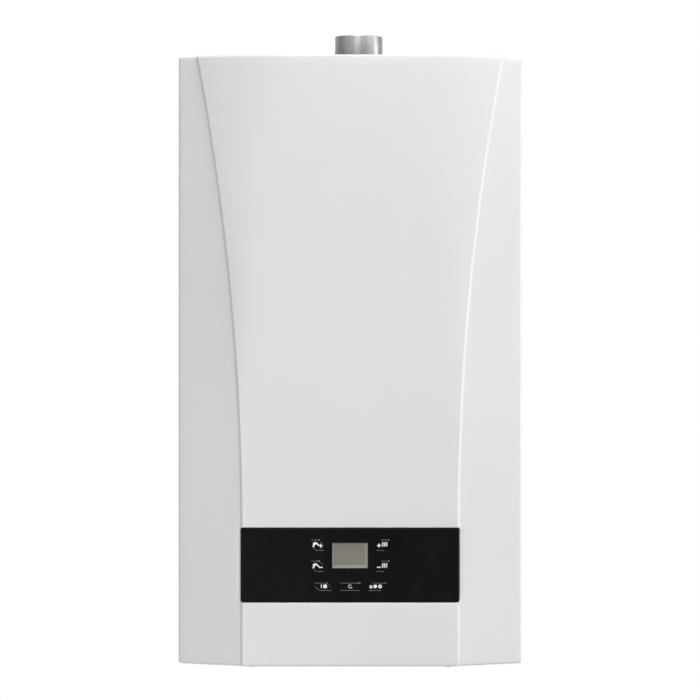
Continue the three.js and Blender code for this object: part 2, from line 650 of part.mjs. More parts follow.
// Front cover: a pan over the chamber's rim with pressed fields, a sight hole and its screws.
function airChamberCover() {
  const half = CHAMBER_WIDTH / 2;
  const back = CHAMBER_FRONT + SEAT;
  const front = back + COVER_SHEET;
  const bead = 3;
  const plate = block([-half, -front, CHAMBER_BOTTOM], [half, -back, CHAMBER_TOP]);
  const split = CHAMBER_BOTTOM + 0.4 * (CHAMBER_TOP - CHAMBER_BOTTOM);
  const margin = 28;
  const spans = [[CHAMBER_BOTTOM + margin, split - margin / 2], [split + margin / 2, CHAMBER_TOP - margin]];
  const field = (low, high, inset) =>
    rounded(inset - half, low + inset - margin, half - inset, high - inset + margin, margin / 2, 1);
  const fields = spans.map(([low, high]) => cut(
    pulled('front', field(low, high, margin), front - COVER_SHEET, bead + COVER_SHEET),
    pulled('front', field(low, high, margin + 1), front - 2 * COVER_SHEET, bead + COVER_SHEET),
  ));
  const inside = spans.map(([low, high]) =>
    pulled('front', field(low, high, margin + 1), back - 1, COVER_SHEET + 1));
  const heads = [-half + 5, half - 5].flatMap((x) =>
    [CHAMBER_BOTTOM + 6, split, CHAMBER_TOP - 6].map((z) =>
      rod([x, -front + 0.5, z], [x, -front - 3, z], 4, 6)));
  const sight = bore([0, -back + 1, SIGHT_HEIGHT], [0, -front - bead - 2, SIGHT_HEIGHT], SIGHT_RADIUS, 12);
  return cut(join(cut(plate, inside), fields, heads), sight);
}

function sightGlass() {
  const back = CHAMBER_FRONT + SEAT;
  return turned([
    [0, 0], [SIGHT_RADIUS - SEAT, 0], [SIGHT_RADIUS - SEAT, 4.5], [SIGHT_RADIUS + 4, 4.5],
    [SIGHT_RADIUS + 4, 6.5], [SIGHT_RADIUS - 4, 6.5], [SIGHT_RADIUS - 4, 5], [0, 5],
  ], [0, -back, SIGHT_HEIGHT], [0, -1, 0], 12);
}

function flueFlange() {
  const low = CHAMBER_TOP + SEAT;
  const high = low + FLUE_FLANGE_SHEET;
  const outer = AIR_INLET_RADIUS + 12;
  const ring = turned([
    [AIR_INLET_RADIUS - 1, 0], [outer, 0], [outer, high - low], [AIR_INLET_RADIUS - 1, high - low],
    [AIR_INLET_RADIUS - 1, 0],
  ], [FLUE_X, -FLUE_DEPTH, low], [0, 0, 1], 20);
  const heads = [45, 135, 225, 315].map((angle) => {
    const [x, y] = arc(FLUE_X, -FLUE_DEPTH, AIR_INLET_RADIUS + 6, angle, angle, 1)[0];
    return rod([x, y, high - 0.5], [x, y, high + 2.2], 3.6, 6);
  });
  return join(ring, heads);
}

function flueStub() {
  const low = CHAMBER_TOP - 9;
  const high = CASING_HEIGHT + FLUE_RISE;
  return turned([
    [FLUE_RADIUS - FLUE_WALL, 0], [FLUE_RADIUS, 0], [FLUE_RADIUS, high - low],
    [FLUE_RADIUS - FLUE_WALL, high - low], [FLUE_RADIUS - FLUE_WALL, 0],
  ], [FLUE_X, -FLUE_DEPTH, low], [0, 0, 1], 28);
}

// ---------------------------------------------------------------- fan, modelled about its axle

const SCROLL_TOP = CHAMBER_TOP - 12 - FAN_HEIGHT;    // outlet plate above the axle
const OUTLET_X = FLUE_X - FAN_X;
const SCROLL_MIDDLE = SCROLL_START + 0.375 * (SCROLL_END - SCROLL_START);   // scroll's radius on its left
const NIPPLE_LENGTH = 8;         // pressure tapping on the left of the scroll
const FAN_SHAFT = 4;

// Spiral outline, drawn in by an inset, with its outlet rising on the right.
function scrollOutline(inset) {
  const tongueX = OUTLET_X - FLUE_RADIUS - SCROLL_WALL + inset;
  const startRadius = SCROLL_START - inset;
  const endRadius = SCROLL_END - inset;
  const startAngle = THREE.MathUtils.radToDeg(Math.acos(tongueX / startRadius));
  const steps = 16;
  const spiral = Array.from({ length: steps + 1 }, (_, i) => {
    const share = i / steps;
    const angle = THREE.MathUtils.degToRad(startAngle + (360 - startAngle) * share);
    const radius = startRadius + (endRadius - startRadius) * share;
    return [radius * Math.cos(angle), radius * Math.sin(angle)];
  });
  const top = inset > 0 ? SCROLL_TOP + 1 : SCROLL_TOP;
  return [...spiral, [endRadius, top], [tongueX, top]];
}

function fanHousing() {
  const half = SCROLL_DEPTH / 2;
  const shell = pulled('front', scrollOutline(0), -half, SCROLL_DEPTH);
  const room = pulled('front', scrollOutline(SCROLL_WALL), -half + SCROLL_WALL,
    SCROLL_DEPTH - 2 * SCROLL_WALL);
  const plateHalf = FLUE_RADIUS + 5;
  const plate = block([OUTLET_X - plateHalf, -plateHalf, SCROLL_TOP - 3],
    [OUTLET_X + plateHalf, plateHalf, SCROLL_TOP]);
  const collar = FLUE_RADIUS - FLUE_WALL - SEAT;
  const body = join(shell, plate,
    rod([OUTLET_X, 0, SCROLL_TOP - 1], [OUTLET_X, 0, SCROLL_TOP + 8], collar, 12),
    rod([-SCROLL_MIDDLE + 3, 0, 0], [-SCROLL_MIDDLE - NIPPLE_LENGTH, 0, 0], 3.2, 8));
  return cut(body, room,
    rod([OUTLET_X, 0, SCROLL_TOP - 4], [OUTLET_X, 0, SCROLL_TOP + 9], collar - 2, 12),
    rod([0, half + 1, 0], [0, half - 2 * SCROLL_WALL, 0], FAN_EYE, 12),
    bore([0, -half - 1, 0], [0, -half + 2 * SCROLL_WALL, 0], FAN_SHAFT + RUNNING_GAP + 2, 8));
}

// Wheel: a back disc at the motor side, a ring at the eye and forward-curved blades between them.
function fanImpeller() {
  const front = -SCROLL_DEPTH / 2 + SCROLL_WALL + 3;
  const back = SCROLL_DEPTH / 2 - SCROLL_WALL - 3;
  const inner = FAN_WHEEL_RADIUS - 13;
  const ring = turned([
    [inner, 0], [FAN_WHEEL_RADIUS, 0], [FAN_WHEEL_RADIUS, 1.5], [inner, 1.5], [inner, 0],
  ], [0, back, 0], [0, -1, 0], 16);
  const disc = turned([
    [0, 0], [FAN_SHAFT + 5, 0], [FAN_SHAFT + 5, 13], [FAN_WHEEL_RADIUS, 13], [FAN_WHEEL_RADIUS, 15],
    [0, 15],
  ], [0, front + 15, 0], [0, -1, 0], 16);
  const blades = Array.from({ length: FAN_BLADES }, (_, i) => {
    const turn = THREE.MathUtils.degToRad(360 * i / FAN_BLADES);
    const face = arc(inner + 6.5, -6, 8.5, 40, 128, 2);
    const rear = arc(inner + 6.5, -6, 7.4, 128, 40, 2);
    const outline = [...face, ...rear].map(([a, b]) => [
      a * Math.cos(turn) - b * Math.sin(turn), a * Math.sin(turn) + b * Math.cos(turn),
    ]);
    return pulled('front', outline, -back + 0.5, back - front - 1);
  });
  const shaft = rod([0, front + 8, 0], [0, -SCROLL_DEPTH / 2 - 14, 0], FAN_SHAFT, 10);
  return join(ring, disc, blades, shaft);
}

const STACK_HALF = 32;           // motor's laminations, half their width
const STACK_DEPTH = 24;
const STACK_ROOM = 14;           // laminations in front of the fan housing
const COIL_HALF = 17;
const COIL_DEPTH = 34;

// Shaded-pole motor on the housing's front: laminations on four legs, coil and end bracket.
function fanMotor() {
  const back = -SCROLL_DEPTH / 2 - SEAT;
  const leg = 0.75 * STACK_HALF;
  const legs = [-leg, leg].flatMap((x) => [-leg, leg].map((z) =>
    rod([x, back, z], [x, back - STACK_ROOM - 2, z], 3, 6)));
  const stackFront = STACK_ROOM + STACK_DEPTH - back;
  const middle = stackFront - STACK_DEPTH / 2;
  const stack = pulled('front', rounded(-STACK_HALF, -STACK_HALF - 6, STACK_HALF, STACK_HALF, 5),
    stackFront - STACK_DEPTH, STACK_DEPTH);
  const coil = pulled('front', rounded(-COIL_HALF, -STACK_HALF - 15, COIL_HALF, 10 - STACK_HALF, 5),
    middle - COIL_DEPTH / 2, COIL_DEPTH);
  const bracket = pulled('front', rounded(2 - STACK_HALF, -10, STACK_HALF - 2, 10, 8), stackFront, 5);
  const nose = rod([0, -stackFront - 2, 0], [0, -stackFront - 12, 0], 9, 12, 6);
  const well = bore([0, back + 1, 0], [0, -middle + 4, 0], FAN_SHAFT + RUNNING_GAP, 8);
  return cut(join(legs, stack, coil, bracket, nose), well);
}

function makeFan() {
  return group(FAN_X, -FLUE_DEPTH, FAN_HEIGHT,
    piece('fan_housing', fanHousing(), 'galvanised'),
    piece('fan_impeller', fanImpeller(), 'galvanised'),
    piece('fan_motor', fanMotor(), 'steel'));
}

// Hood: from the exchanger's outline up to a flat duct behind the fan.
function flueHood() {
  const ring = (height, left, right, back, front) => [
    [left, -front], [right, -front], [right, -back], [left, -back],
  ].map(([x, y]) => new THREE.Vector3(x, y, height));
  const half = HEARTH_WIDTH / 2;
  const back = HEARTH_BACK;
  const front = HEARTH_FRONT;
  const ductBack = CHAMBER_REAR + CHAMBER_SHEET + SEAT;
  const ductFront = SCROLL_BACK - SEAT;
  const ductHalf = FAN_WHEEL_RADIUS;
  const rise = HOOD_BOTTOM + HOOD_HEIGHT;
  const crown = FAN_HEIGHT + ductHalf;
  const left = FAN_X - ductHalf;
  const right = FAN_X + ductHalf;
  const wall = HOOD_WALL;
  const body = lofted([
    ring(HOOD_BOTTOM, -half, half, back, front),
    ring(HOOD_BOTTOM + 8, -half, half, back, front),
    ring(rise, left, right, ductBack, ductFront),
    ring(crown, left, right, ductBack, ductFront),
  ]);
  const room = lofted([
    ring(HOOD_BOTTOM - 1, -half + wall, half - wall, back + wall, front - wall),
    ring(HOOD_BOTTOM + 8 - wall / 2, -half + wall, half - wall, back + wall, front - wall),
    ring(rise - wall / 2, left + wall, right - wall, ductBack + wall, ductFront - wall),
    ring(crown - wall, left + wall, right - wall, ductBack + wall, ductFront - wall),
  ]);
  const inlet = rod([FAN_X, -ductFront - 1, FAN_HEIGHT], [FAN_X, -ductBack - 6, FAN_HEIGHT], FAN_EYE, 12);
  return cut(body, room, inlet);
}

// ---------------------------------------------------------------- hearth

function burnerRack() {
  const low = CHAMBER_BOTTOM + CHAMBER_SHEET + SEAT;
  const high = low + BURNER_HEIGHT;
  const half = HEARTH_WIDTH / 2;
  const back = HEARTH_BACK;
  const pitch = (HEARTH_WIDTH - 2 * HEARTH_WALL) / BURNER_BLADES;
  const blade = (x) => pulled('front', [
    [x - 3, low + 14], [x + 3, low + 14], [x + 6, low + 24], [x + 4, high - 3],
    [x - 4, high - 3], [x - 6, low + 24],
  ], back + 8, HEARTH_DEPTH - 16);
  const blades = Array.from({ length: BURNER_BLADES }, (_, i) =>
    blade(-half + HEARTH_WALL + pitch * (i + 0.5)));
  const sides = [-half, half - 2].map((x) =>
    block([x, -back - HEARTH_DEPTH, low], [x + 2, -back, high]));
  const bars = [back + 10, back + HEARTH_DEPTH - 16].map((depth) =>
    block([-half + 1, -depth - 6, low + 26], [half - 1, -depth, low + 31]));
  return join(blades, sides, bars);
}

const MANIFOLD_DEPTH = HEARTH_FRONT + 11;
const MANIFOLD_HEIGHT = CHAMBER_BOTTOM + 25;
const MANIFOLD_HALF = 8;         // half the bar's height

// Gas manifold: a bar in front of the burner with one injector for each blade.
function gasManifold() {
  const half = HEARTH_WIDTH / 2 - HEARTH_WALL;
  const pitch = 2 * half / BURNER_BLADES;
  const end = HEARTH_FRONT - 8 + SEAT;
  const injectors = Array.from({ length: BURNER_BLADES }, (_, i) => {
    const x = -half + pitch * (i + 0.5);
    return rod([x, -MANIFOLD_DEPTH, MANIFOLD_HEIGHT], [x, -end, MANIFOLD_HEIGHT], 3.2, 6);
  });
  const bar = block([-half, -MANIFOLD_DEPTH - 6, MANIFOLD_HEIGHT - MANIFOLD_HALF],
    [half, -MANIFOLD_DEPTH + 5, MANIFOLD_HEIGHT + MANIFOLD_HALF]);
  const low = CHAMBER_BOTTOM + CHAMBER_SHEET + SEAT;
  const feet = [-half + 8, half - 16].map((x) =>
    block([x, -MANIFOLD_DEPTH - 4, low], [x + 8, -MANIFOLD_DEPTH + 2, MANIFOLD_HEIGHT]));
  return join(bar, injectors, feet);
}

const ELECTRODE_RADIUS = 3.6;
const ELECTRODE_X = 38;
const ELECTRODE_HEIGHT = HEARTH_BOTTOM + 16;

function combustionChamber() {
  const half = HEARTH_WIDTH / 2;
  const back = HEARTH_BACK;
  const front = HEARTH_FRONT;
  const low = HEARTH_BOTTOM;
  const high = low + HEARTH_HEIGHT;
  const bead = (height) => block([-half - 2, -front - 2, height], [half + 2, -back + 2, height + 5]);
  const body = join(
    block([-half, -front, low], [half, -back, high]),
    bead(low + 4), bead(high - 9), bead((low + high) / 2),
  );
  const room = block([-half + HEARTH_WALL, -front + HEARTH_WALL, low - 1],
    [half - HEARTH_WALL, -back - HEARTH_WALL, high + 1]);
  const ports = [-ELECTRODE_X, ELECTRODE_X].map((x) =>
    bore([x, -front - 4, ELECTRODE_HEIGHT], [x, -front + HEARTH_WALL + 1, ELECTRODE_HEIGHT],
      ELECTRODE_RADIUS + SEAT, 10));
  return cut(body, room, ports);
}

// Electrode: a ceramic body with a collar outside the chamber, and a bent wire towards the flame.
function electrode(x, drop) {
  const front = HEARTH_FRONT;
  const z = ELECTRODE_HEIGHT;
  return join(
    rod([x, -front - 22, z], [x, -front + HEARTH_WALL - 1, z], ELECTRODE_RADIUS, 10),
    rod([x, -front - 8, z], [x, -front - 2 - SEAT, z], ELECTRODE_RADIUS + 3, 10),
    pipe([[x, -front - 26, z], [x, -front + HEARTH_WALL + 14, z], [x, -front + HEARTH_WALL + 20, z - drop]],
      1.2, 3, 6),
  );
}

const PASS_PITCH = HEARTH_DEPTH / EXCHANGER_PASSES;
const RISER_STUB_LEFT = HEARTH_BACK + PASS_PITCH / 2;
const RISER_STUB_RIGHT = HEARTH_FRONT - PASS_PITCH / 2;
const STUB_END = RISER_X - 2.6 * PIPE_RADIUS;    // connection stubs, from the middle

// Heat exchanger: a finned block with end plates, return bends and two connection stubs.
function heatExchanger() {
  const half = HEARTH_WIDTH / 2;
  const back = HEARTH_BACK;
  const low = EXCHANGER_BOTTOM;
  const high = low + EXCHANGER_HEIGHT;
  const pitch = (HEARTH_WIDTH - 8) / EXCHANGER_FINS;
  const fin = pitch / 2;
  const foot = low + 16;
  const crown = high - 14;
  const lower = [];
  const upper = [];
  for (let i = 0; i < EXCHANGER_FINS; i++) {
    const x = -half + 4 + pitch * (i + 0.25);
    lower.push([x, foot], [x, low + 1], [x + fin, low + 1], [x + fin, foot]);
    upper.push([x, crown], [x, high - 1], [x + fin, high - 1], [x + fin, crown]);
  }
  const outline = [[-half + 2, foot], ...lower, [half - 2, foot], [half - 2, crown],
    ...upper.reverse(), [-half + 2, crown]];
  const fins = pulled('front', outline, back + 2, HEARTH_DEPTH - 4);
  const ends = [-half, half - 3].map((x) =>
    block([x, -back - HEARTH_DEPTH, low], [x + 3, -back, high]));
  const middle = (low + high) / 2;
  const bends = Array.from({ length: EXCHANGER_PASSES - 1 }, (_, i) => {
    const side = i % 2 === 0 ? 1 : -1;
    const near = -back - PASS_PITCH * (i + 0.5);
    const x = side * (half - 2);
    const reach = side * (half + 14);
    return pipe([[x, near, middle], [reach, near, middle], [reach, near - PASS_PITCH, middle],
      [x, near - PASS_PITCH, middle]], 7, PASS_PITCH / 2 - 1.5, 6, 1);
  });
  const stub = (side, depth) => rod([side * (half - 2), -depth, middle],
    [side * STUB_END, -depth, middle], PIPE_RADIUS + 2, 10);
  return join(fins, ends, bends, stub(-1, RISER_STUB_LEFT), stub(1, RISER_STUB_RIGHT));
}

// ---------------------------------------------------------------- air pressure switch

const SWITCH_X = 36 - CHAMBER_WIDTH / 2;
const SWITCH_HEIGHT = 648;
const TAPPING_X = SWITCH_X - 12;
const TAPPING_HEIGHT = SWITCH_HEIGHT - 14;
const SWITCH_RADIUS = 28;

function airPressureSwitch() {
  const wall = CHAMBER_REAR + CHAMBER_SHEET + SEAT;
  const base = [SWITCH_X, -wall, SWITCH_HEIGHT];
  const body = turned([
    [0, 0], [10, 0], [10, 8], [SWITCH_RADIUS - 3, 8], [SWITCH_RADIUS, 11], [SWITCH_RADIUS, 15],
    [SWITCH_RADIUS + 2, 15], [SWITCH_RADIUS + 2, 19], [SWITCH_RADIUS, 19], [SWITCH_RADIUS - 4, 28],
    [9, 30], [9, 36], [0, 36],
  ], base, [0, -1, 0], 10);
  const port = rod([TAPPING_X, -wall - 24, TAPPING_HEIGHT], [TAPPING_X, -wall - 40, TAPPING_HEIGHT], 3, 8);
  const tabs = block([SWITCH_X - 4, -wall - 44, SWITCH_HEIGHT - 3],
    [SWITCH_X + 4, -wall - 34, SWITCH_HEIGHT + 3]);
  return join(body, port, tabs);
}

function pressureTube() {
  const wall = CHAMBER_REAR + CHAMBER_SHEET + SEAT;
  const x = TAPPING_X;
  const z = TAPPING_HEIGHT;
  return pipe([
    [x, -wall - 40 - SEAT, z], [x, -FLUE_DEPTH, z], [x, -FLUE_DEPTH, FAN_HEIGHT],
    [FAN_X - SCROLL_MIDDLE - NIPPLE_LENGTH - SEAT, -FLUE_DEPTH, FAN_HEIGHT],
  ], 3.2, 8, 8);
}

// ---------------------------------------------------------------- expansion vessel

function expansionVessel() {
  const back = FRAME_SHEET + SEAT;
  const rim = VESSEL_RADIUS;
  const middle = VESSEL_DEPTH / 2;
  const body = turned([
    [0, 0], [rim - 26, 0], [rim - 8, 8], [rim - 3, 22], [rim - 3, middle - 3], [rim, middle - 3],
    [rim, middle + 3], [rim - 3, middle + 3], [rim - 3, VESSEL_DEPTH - 22], [rim - 8, VESSEL_DEPTH - 8],
    [rim - 26, VESSEL_DEPTH], [0, VESSEL_DEPTH],
  ], [0, -back, VESSEL_HEIGHT], [0, -1, 0], 18);
  const wall = VESSEL_WALL;
  const inside = turned([
    [0, wall], [rim - 28, wall], [rim - 3 - wall, 24], [rim - 3 - wall, VESSEL_DEPTH - 24],
    [rim - 28, VESSEL_DEPTH - wall], [0, VESSEL_DEPTH - wall],
  ], [0, -back, VESSEL_HEIGHT], [0, -1, 0], 18);
  const nippleRoot = VESSEL_HEIGHT - 0.85 * rim;
  const nippleEnd = VESSEL_HEIGHT - rim - 4;
  const nipple = rod([VESSEL_PIPE_X, -VESSEL_PIPE_DEPTH, nippleRoot],
    [VESSEL_PIPE_X, -VESSEL_PIPE_DEPTH, nippleEnd], VESSEL_PIPE + 4, 6);
  const water = rod([VESSEL_PIPE_X, -VESSEL_PIPE_DEPTH, nippleRoot + 4],
    [VESSEL_PIPE_X, -VESSEL_PIPE_DEPTH, nippleEnd - 1], VESSEL_PIPE - 2, 8);
  return cut(join(body, nipple), inside, water);
}

// ---------------------------------------------------------------- water groups

// A tail through the tray: threaded end, shoulder hexagon on the tray and riser to the group's axis.
function tail(x, radius, top) {
  const y = -TAIL_DEPTH;
  return cut(join(
    rod([x, y, TAIL_END], [x, y, GROUP_SEAT + 6], radius, 10),
    rod([x, y, GROUP_SEAT], [x, y, GROUP_SEAT + 11], radius + 5, 6),
    rod([x, y, GROUP_SEAT + 8], [x, y, top], radius, 8),
  ), rod([x, y, TAIL_END - 1], [x, y, TAIL_END + 18], radius - TAIL_WALL, 8));
}

const PORT_X = PLATE_WIDTH / 2 - 16;
const PORT_FACE = TAIL_DEPTH - GROUP_RADIUS;   // where the plate exchanger's ports meet the groups
const PORT_LOW = GROUP_HEIGHT;
const PORT_HIGH = GROUP_HEIGHT + 34;
const DIVERTER_TOP = GROUP_HEIGHT + 50;
const FLOW_STUB_X = -1.5 * TAIL_PITCH;
const FLOW_STUB_TOP = GROUP_HEIGHT + 34;
const SPINDLE_RADIUS = 2.5;
const STEM_END = TRAY_HEIGHT - 4;
const SPIGOT_RADIUS = 2.4;
const SPIGOT_LENGTH = 5;
const KNOB_NECK = 3;
const VALVE_SEAT = TAIL_DEPTH + GROUP_RADIUS + 3;      // group's boss for the safety valve
const VALVE_LENGTH = 26;

function groupPort(x, height) {
  return rod([x, -TAIL_DEPTH, height], [x, -PORT_FACE, height], PLATE_PORT + 2, 8);
}

// Turned stem under a group, with the spigot that its knob turns on below the tray.
function knobStem(x) {
  return join(
    rod([x, -TAIL_DEPTH, STEM_END], [x, -TAIL_DEPTH, GROUP_HEIGHT], KNOB_STEM, 8),
    rod([x, -TAIL_DEPTH, STEM_END - SPIGOT_LENGTH], [x, -TAIL_DEPTH, STEM_END + 1], SPIGOT_RADIUS, 8),
  );
}

function flowGroup() {
  const y = -TAIL_DEPTH;
  const left = -2 * TAIL_PITCH;
  const tower = join(
    rod([left, y, GROUP_HEIGHT - GROUP_RADIUS], [left, y, DIVERTER_TOP - 4], GROUP_RADIUS + 3, 8),
    rod([left, y, DIVERTER_TOP - 8], [left, y, DIVERTER_TOP], GROUP_RADIUS + 7, 8),
  );
  const body = join(
    tail(left, TAIL_LARGE, GROUP_HEIGHT),
    tail(-TAIL_PITCH, TAIL_SMALL, GROUP_HEIGHT),
    rod([left - GROUP_RADIUS, y, GROUP_HEIGHT], [-TAIL_PITCH + GROUP_RADIUS, y, GROUP_HEIGHT],
      GROUP_RADIUS, 8),
    tower,
    rod([FLOW_STUB_X, y, GROUP_HEIGHT], [FLOW_STUB_X, y, FLOW_STUB_TOP], PIPE_RADIUS + 3, 8),
    groupPort(-PORT_X, PORT_LOW),
    rod([-PORT_X, y, PORT_LOW], [-PORT_X, y, PORT_HIGH], PLATE_PORT, 8),
    groupPort(-PORT_X, PORT_HIGH),
    knobStem(-1.5 * TAIL_PITCH),
  );
  return cut(body,
    bore([left, y, GROUP_HEIGHT], [left, y, DIVERTER_TOP + 1], SPINDLE_RADIUS + RUNNING_GAP, 8));
}

const ACTUATOR_BOTTOM = DIVERTER_TOP + 14;
const ACTUATOR_WIDTH = 52;
const ACTUATOR_DEPTH = 54;
const ACTUATOR_HEIGHT = 44;
const ACTUATOR_MOTOR = 17;       // radius of the motor on top
const ACTUATOR_OFFSET = 6;       // housing's middle to the left of the valve's axis

// Diverter spindle: a pin between the actuator and the valve, with its spring collar.
function diverterSpindle() {
  const x = -2 * TAIL_PITCH;
  return join(
    rod([x, -TAIL_DEPTH, DIVERTER_TOP - 24], [x, -TAIL_DEPTH, ACTUATOR_BOTTOM + 8], SPINDLE_RADIUS, 8),
    rod([x, -TAIL_DEPTH, ACTUATOR_BOTTOM - 3.5], [x, -TAIL_DEPTH, ACTUATOR_BOTTOM - 1],
      SPINDLE_RADIUS + 3, 8),
  );
}

function diverterActuator() {
  const x = -2 * TAIL_PITCH;
  const y = -TAIL_DEPTH;
  const middle = x - ACTUATOR_OFFSET;
  const front = y - ACTUATOR_DEPTH / 2 - 3;
  const top = ACTUATOR_BOTTOM + ACTUATOR_HEIGHT;
  const plug = ACTUATOR_WIDTH / 5;
  const body = join(
    pulled('up', rounded(middle - ACTUATOR_WIDTH / 2, front, middle + ACTUATOR_WIDTH / 2,
      front + ACTUATOR_DEPTH, ACTUATOR_OFFSET), ACTUATOR_BOTTOM, ACTUATOR_HEIGHT),
    rod([middle, y - 4, top - 2], [middle, y - 4, top + 10], ACTUATOR_MOTOR, 10),
    block([x - plug, front - 8, ACTUATOR_BOTTOM + 8], [x + plug, front + 4, ACTUATOR_BOTTOM + 26]),
  );
  const legs = [-1, 1].map((side) => block([x + side * ACTUATOR_MOTOR - 3, y - 8, DIVERTER_TOP + SEAT],
    [x + side * ACTUATOR_MOTOR + 3, y + 8, ACTUATOR_BOTTOM + 1]));
  return cut(join(body, legs),
    bore([x, y, ACTUATOR_BOTTOM - 1], [x, y, ACTUATOR_BOTTOM + 20], SPINDLE_RADIUS + RUNNING_GAP, 10));
}

function returnGroup() {
  const y = -TAIL_DEPTH;
  const right = 2 * TAIL_PITCH;
  const top = PUMP_HEIGHT - PUMP_NECK - SEAT;
  return cut(join(
    tail(right, TAIL_LARGE, GROUP_HEIGHT),
    tail(TAIL_PITCH, TAIL_SMALL, GROUP_HEIGHT),
    rod([TAIL_PITCH - GROUP_RADIUS, y, GROUP_HEIGHT], [right + GROUP_RADIUS, y, GROUP_HEIGHT],
      GROUP_RADIUS, 8),
    rod([right, y, GROUP_HEIGHT], [right, y, top], GROUP_RADIUS - 2, 8),
    rod([right, y, top - 6], [right, y, top], GROUP_RADIUS + 4, 8),
    groupPort(PORT_X, PORT_LOW),
    rod([PORT_X, y, PORT_LOW], [PORT_X, y, PORT_HIGH], PLATE_PORT, 8),
    groupPort(PORT_X, PORT_HIGH),
    knobStem(1.5 * TAIL_PITCH),
    rod([SPOUT_X, y, GROUP_HEIGHT], [SPOUT_X, -VALVE_SEAT, GROUP_HEIGHT], 10, 8),
  ), rod([right, y, top - 12], [right, y, top + 1], 8, 8));
}

// Brazed plate exchanger: rounded plates in a stack with four ports at the front.
function plateHeatExchanger() {
  const low = (PORT_LOW + PORT_HIGH) / 2 - PLATE_HEIGHT / 2;
  const outline = (inset) => rounded(-PLATE_WIDTH / 2 + inset, low + inset,
    PLATE_WIDTH / 2 - inset, low + PLATE_HEIGHT - inset, 18 - inset, 1);
  const plates = 4;
  const pitch = PLATE_STACK / plates;
  const stack = Array.from({ length: plates }, (_, i) =>
    pulled('front', outline(0), PLATE_REAR + pitch * i, pitch * 0.6));
  const core = pulled('front', outline(1.6), PLATE_REAR + 0.5, PLATE_STACK - 1);
  const ports = [-PORT_X, PORT_X].flatMap((x) => [PORT_LOW, PORT_HIGH].map((z) =>
    rod([x, -PLATE_FRONT + 3, z], [x, -PORT_FACE + SEAT, z], PLATE_PORT, 8)));
  return join(core, stack, ports);
}

// Lobed hand knob: a neck and a grip along the given way, with a blind bore for the spigot it turns on.
function lobedKnob(base, way, radius, length, lobes = 6) {
  const outline = Array.from({ length: lobes * 4 }, (_, i) => {
    const angle = 2 * Math.PI * i / (lobes * 4);
    const r = radius * (0.92 + 0.08 * Math.cos(lobes * angle));
    return [r * Math.cos(angle), r * Math.sin(angle)];
  });
  const grip = pulled('up', outline, KNOB_NECK, length - KNOB_NECK);
  const neck = rod([0, 0, 0], [0, 0, KNOB_NECK + 1], radius * 0.6, 8);
  const hole = bore([0, 0, -1], [0, 0, SPIGOT_LENGTH + 1], SPIGOT_RADIUS + RUNNING_GAP, 8);
  const knob = geometryFrom(cut(join(grip, neck), hole));
  knob.applyQuaternion(new THREE.Quaternion().setFromUnitVectors(
    new THREE.Vector3(0, 0, 1), new THREE.Vector3(...way)));
  knob.translate(...base);
  return solidFrom(knob);
}

// Tap knob below the tray.
function tapKnob(x) {
  return lobedKnob([x, -TAIL_DEPTH, STEM_END - SEAT], [0, 0, -1], 12, 18);
}

function safetyValve() {
  const back = VALVE_SEAT + SEAT;
  const front = back + VALVE_LENGTH;
  const body = join(
    rod([SPOUT_X, -back, GROUP_HEIGHT], [SPOUT_X, -back - 8, GROUP_HEIGHT], SPOUT_RADIUS + 7, 6),
    rod([SPOUT_X, -back - 6, GROUP_HEIGHT], [SPOUT_X, -front, GROUP_HEIGHT], SPOUT_RADIUS + 5, 8),
    rod([SPOUT_X, 1 - front, GROUP_HEIGHT], [SPOUT_X, -front - SPIGOT_LENGTH, GROUP_HEIGHT],
      SPIGOT_RADIUS, 8),
    rod([SPOUT_X, -SPOUT_DEPTH, GROUP_HEIGHT], [SPOUT_X, -SPOUT_DEPTH, TAIL_END + 6], SPOUT_RADIUS, 8),
    rod([SPOUT_X, -SPOUT_DEPTH, GROUP_HEIGHT], [SPOUT_X, -SPOUT_DEPTH, GROUP_HEIGHT - 20],
      SPOUT_RADIUS + 3, 8),
  );
  return cut(body, rod([SPOUT_X, -SPOUT_DEPTH, TAIL_END], [SPOUT_X, -SPOUT_DEPTH, TAIL_END + 26],
    SPOUT_RADIUS - 2, 10));
}

function safetyValveKnob() {
  return lobedKnob([SPOUT_X, -VALVE_SEAT - VALVE_LENGTH - 2 * SEAT, GROUP_HEIGHT], [0, -1, 0], 13, 16);
}

// ---------------------------------------------------------------- pump, modelled about its axle

const VOLUTE_DEPTH = 36;
const PUMP_WALL = 4;
const SHAFT_ROOM = 5;
const PUMP_NECK = PUMP_RADIUS + 8;           // pump's axis to its inlet flange and its air vent
const PUMP_OUTLET_X = 26;
const PUMP_OUTLET = PUMP_RADIUS + 6;

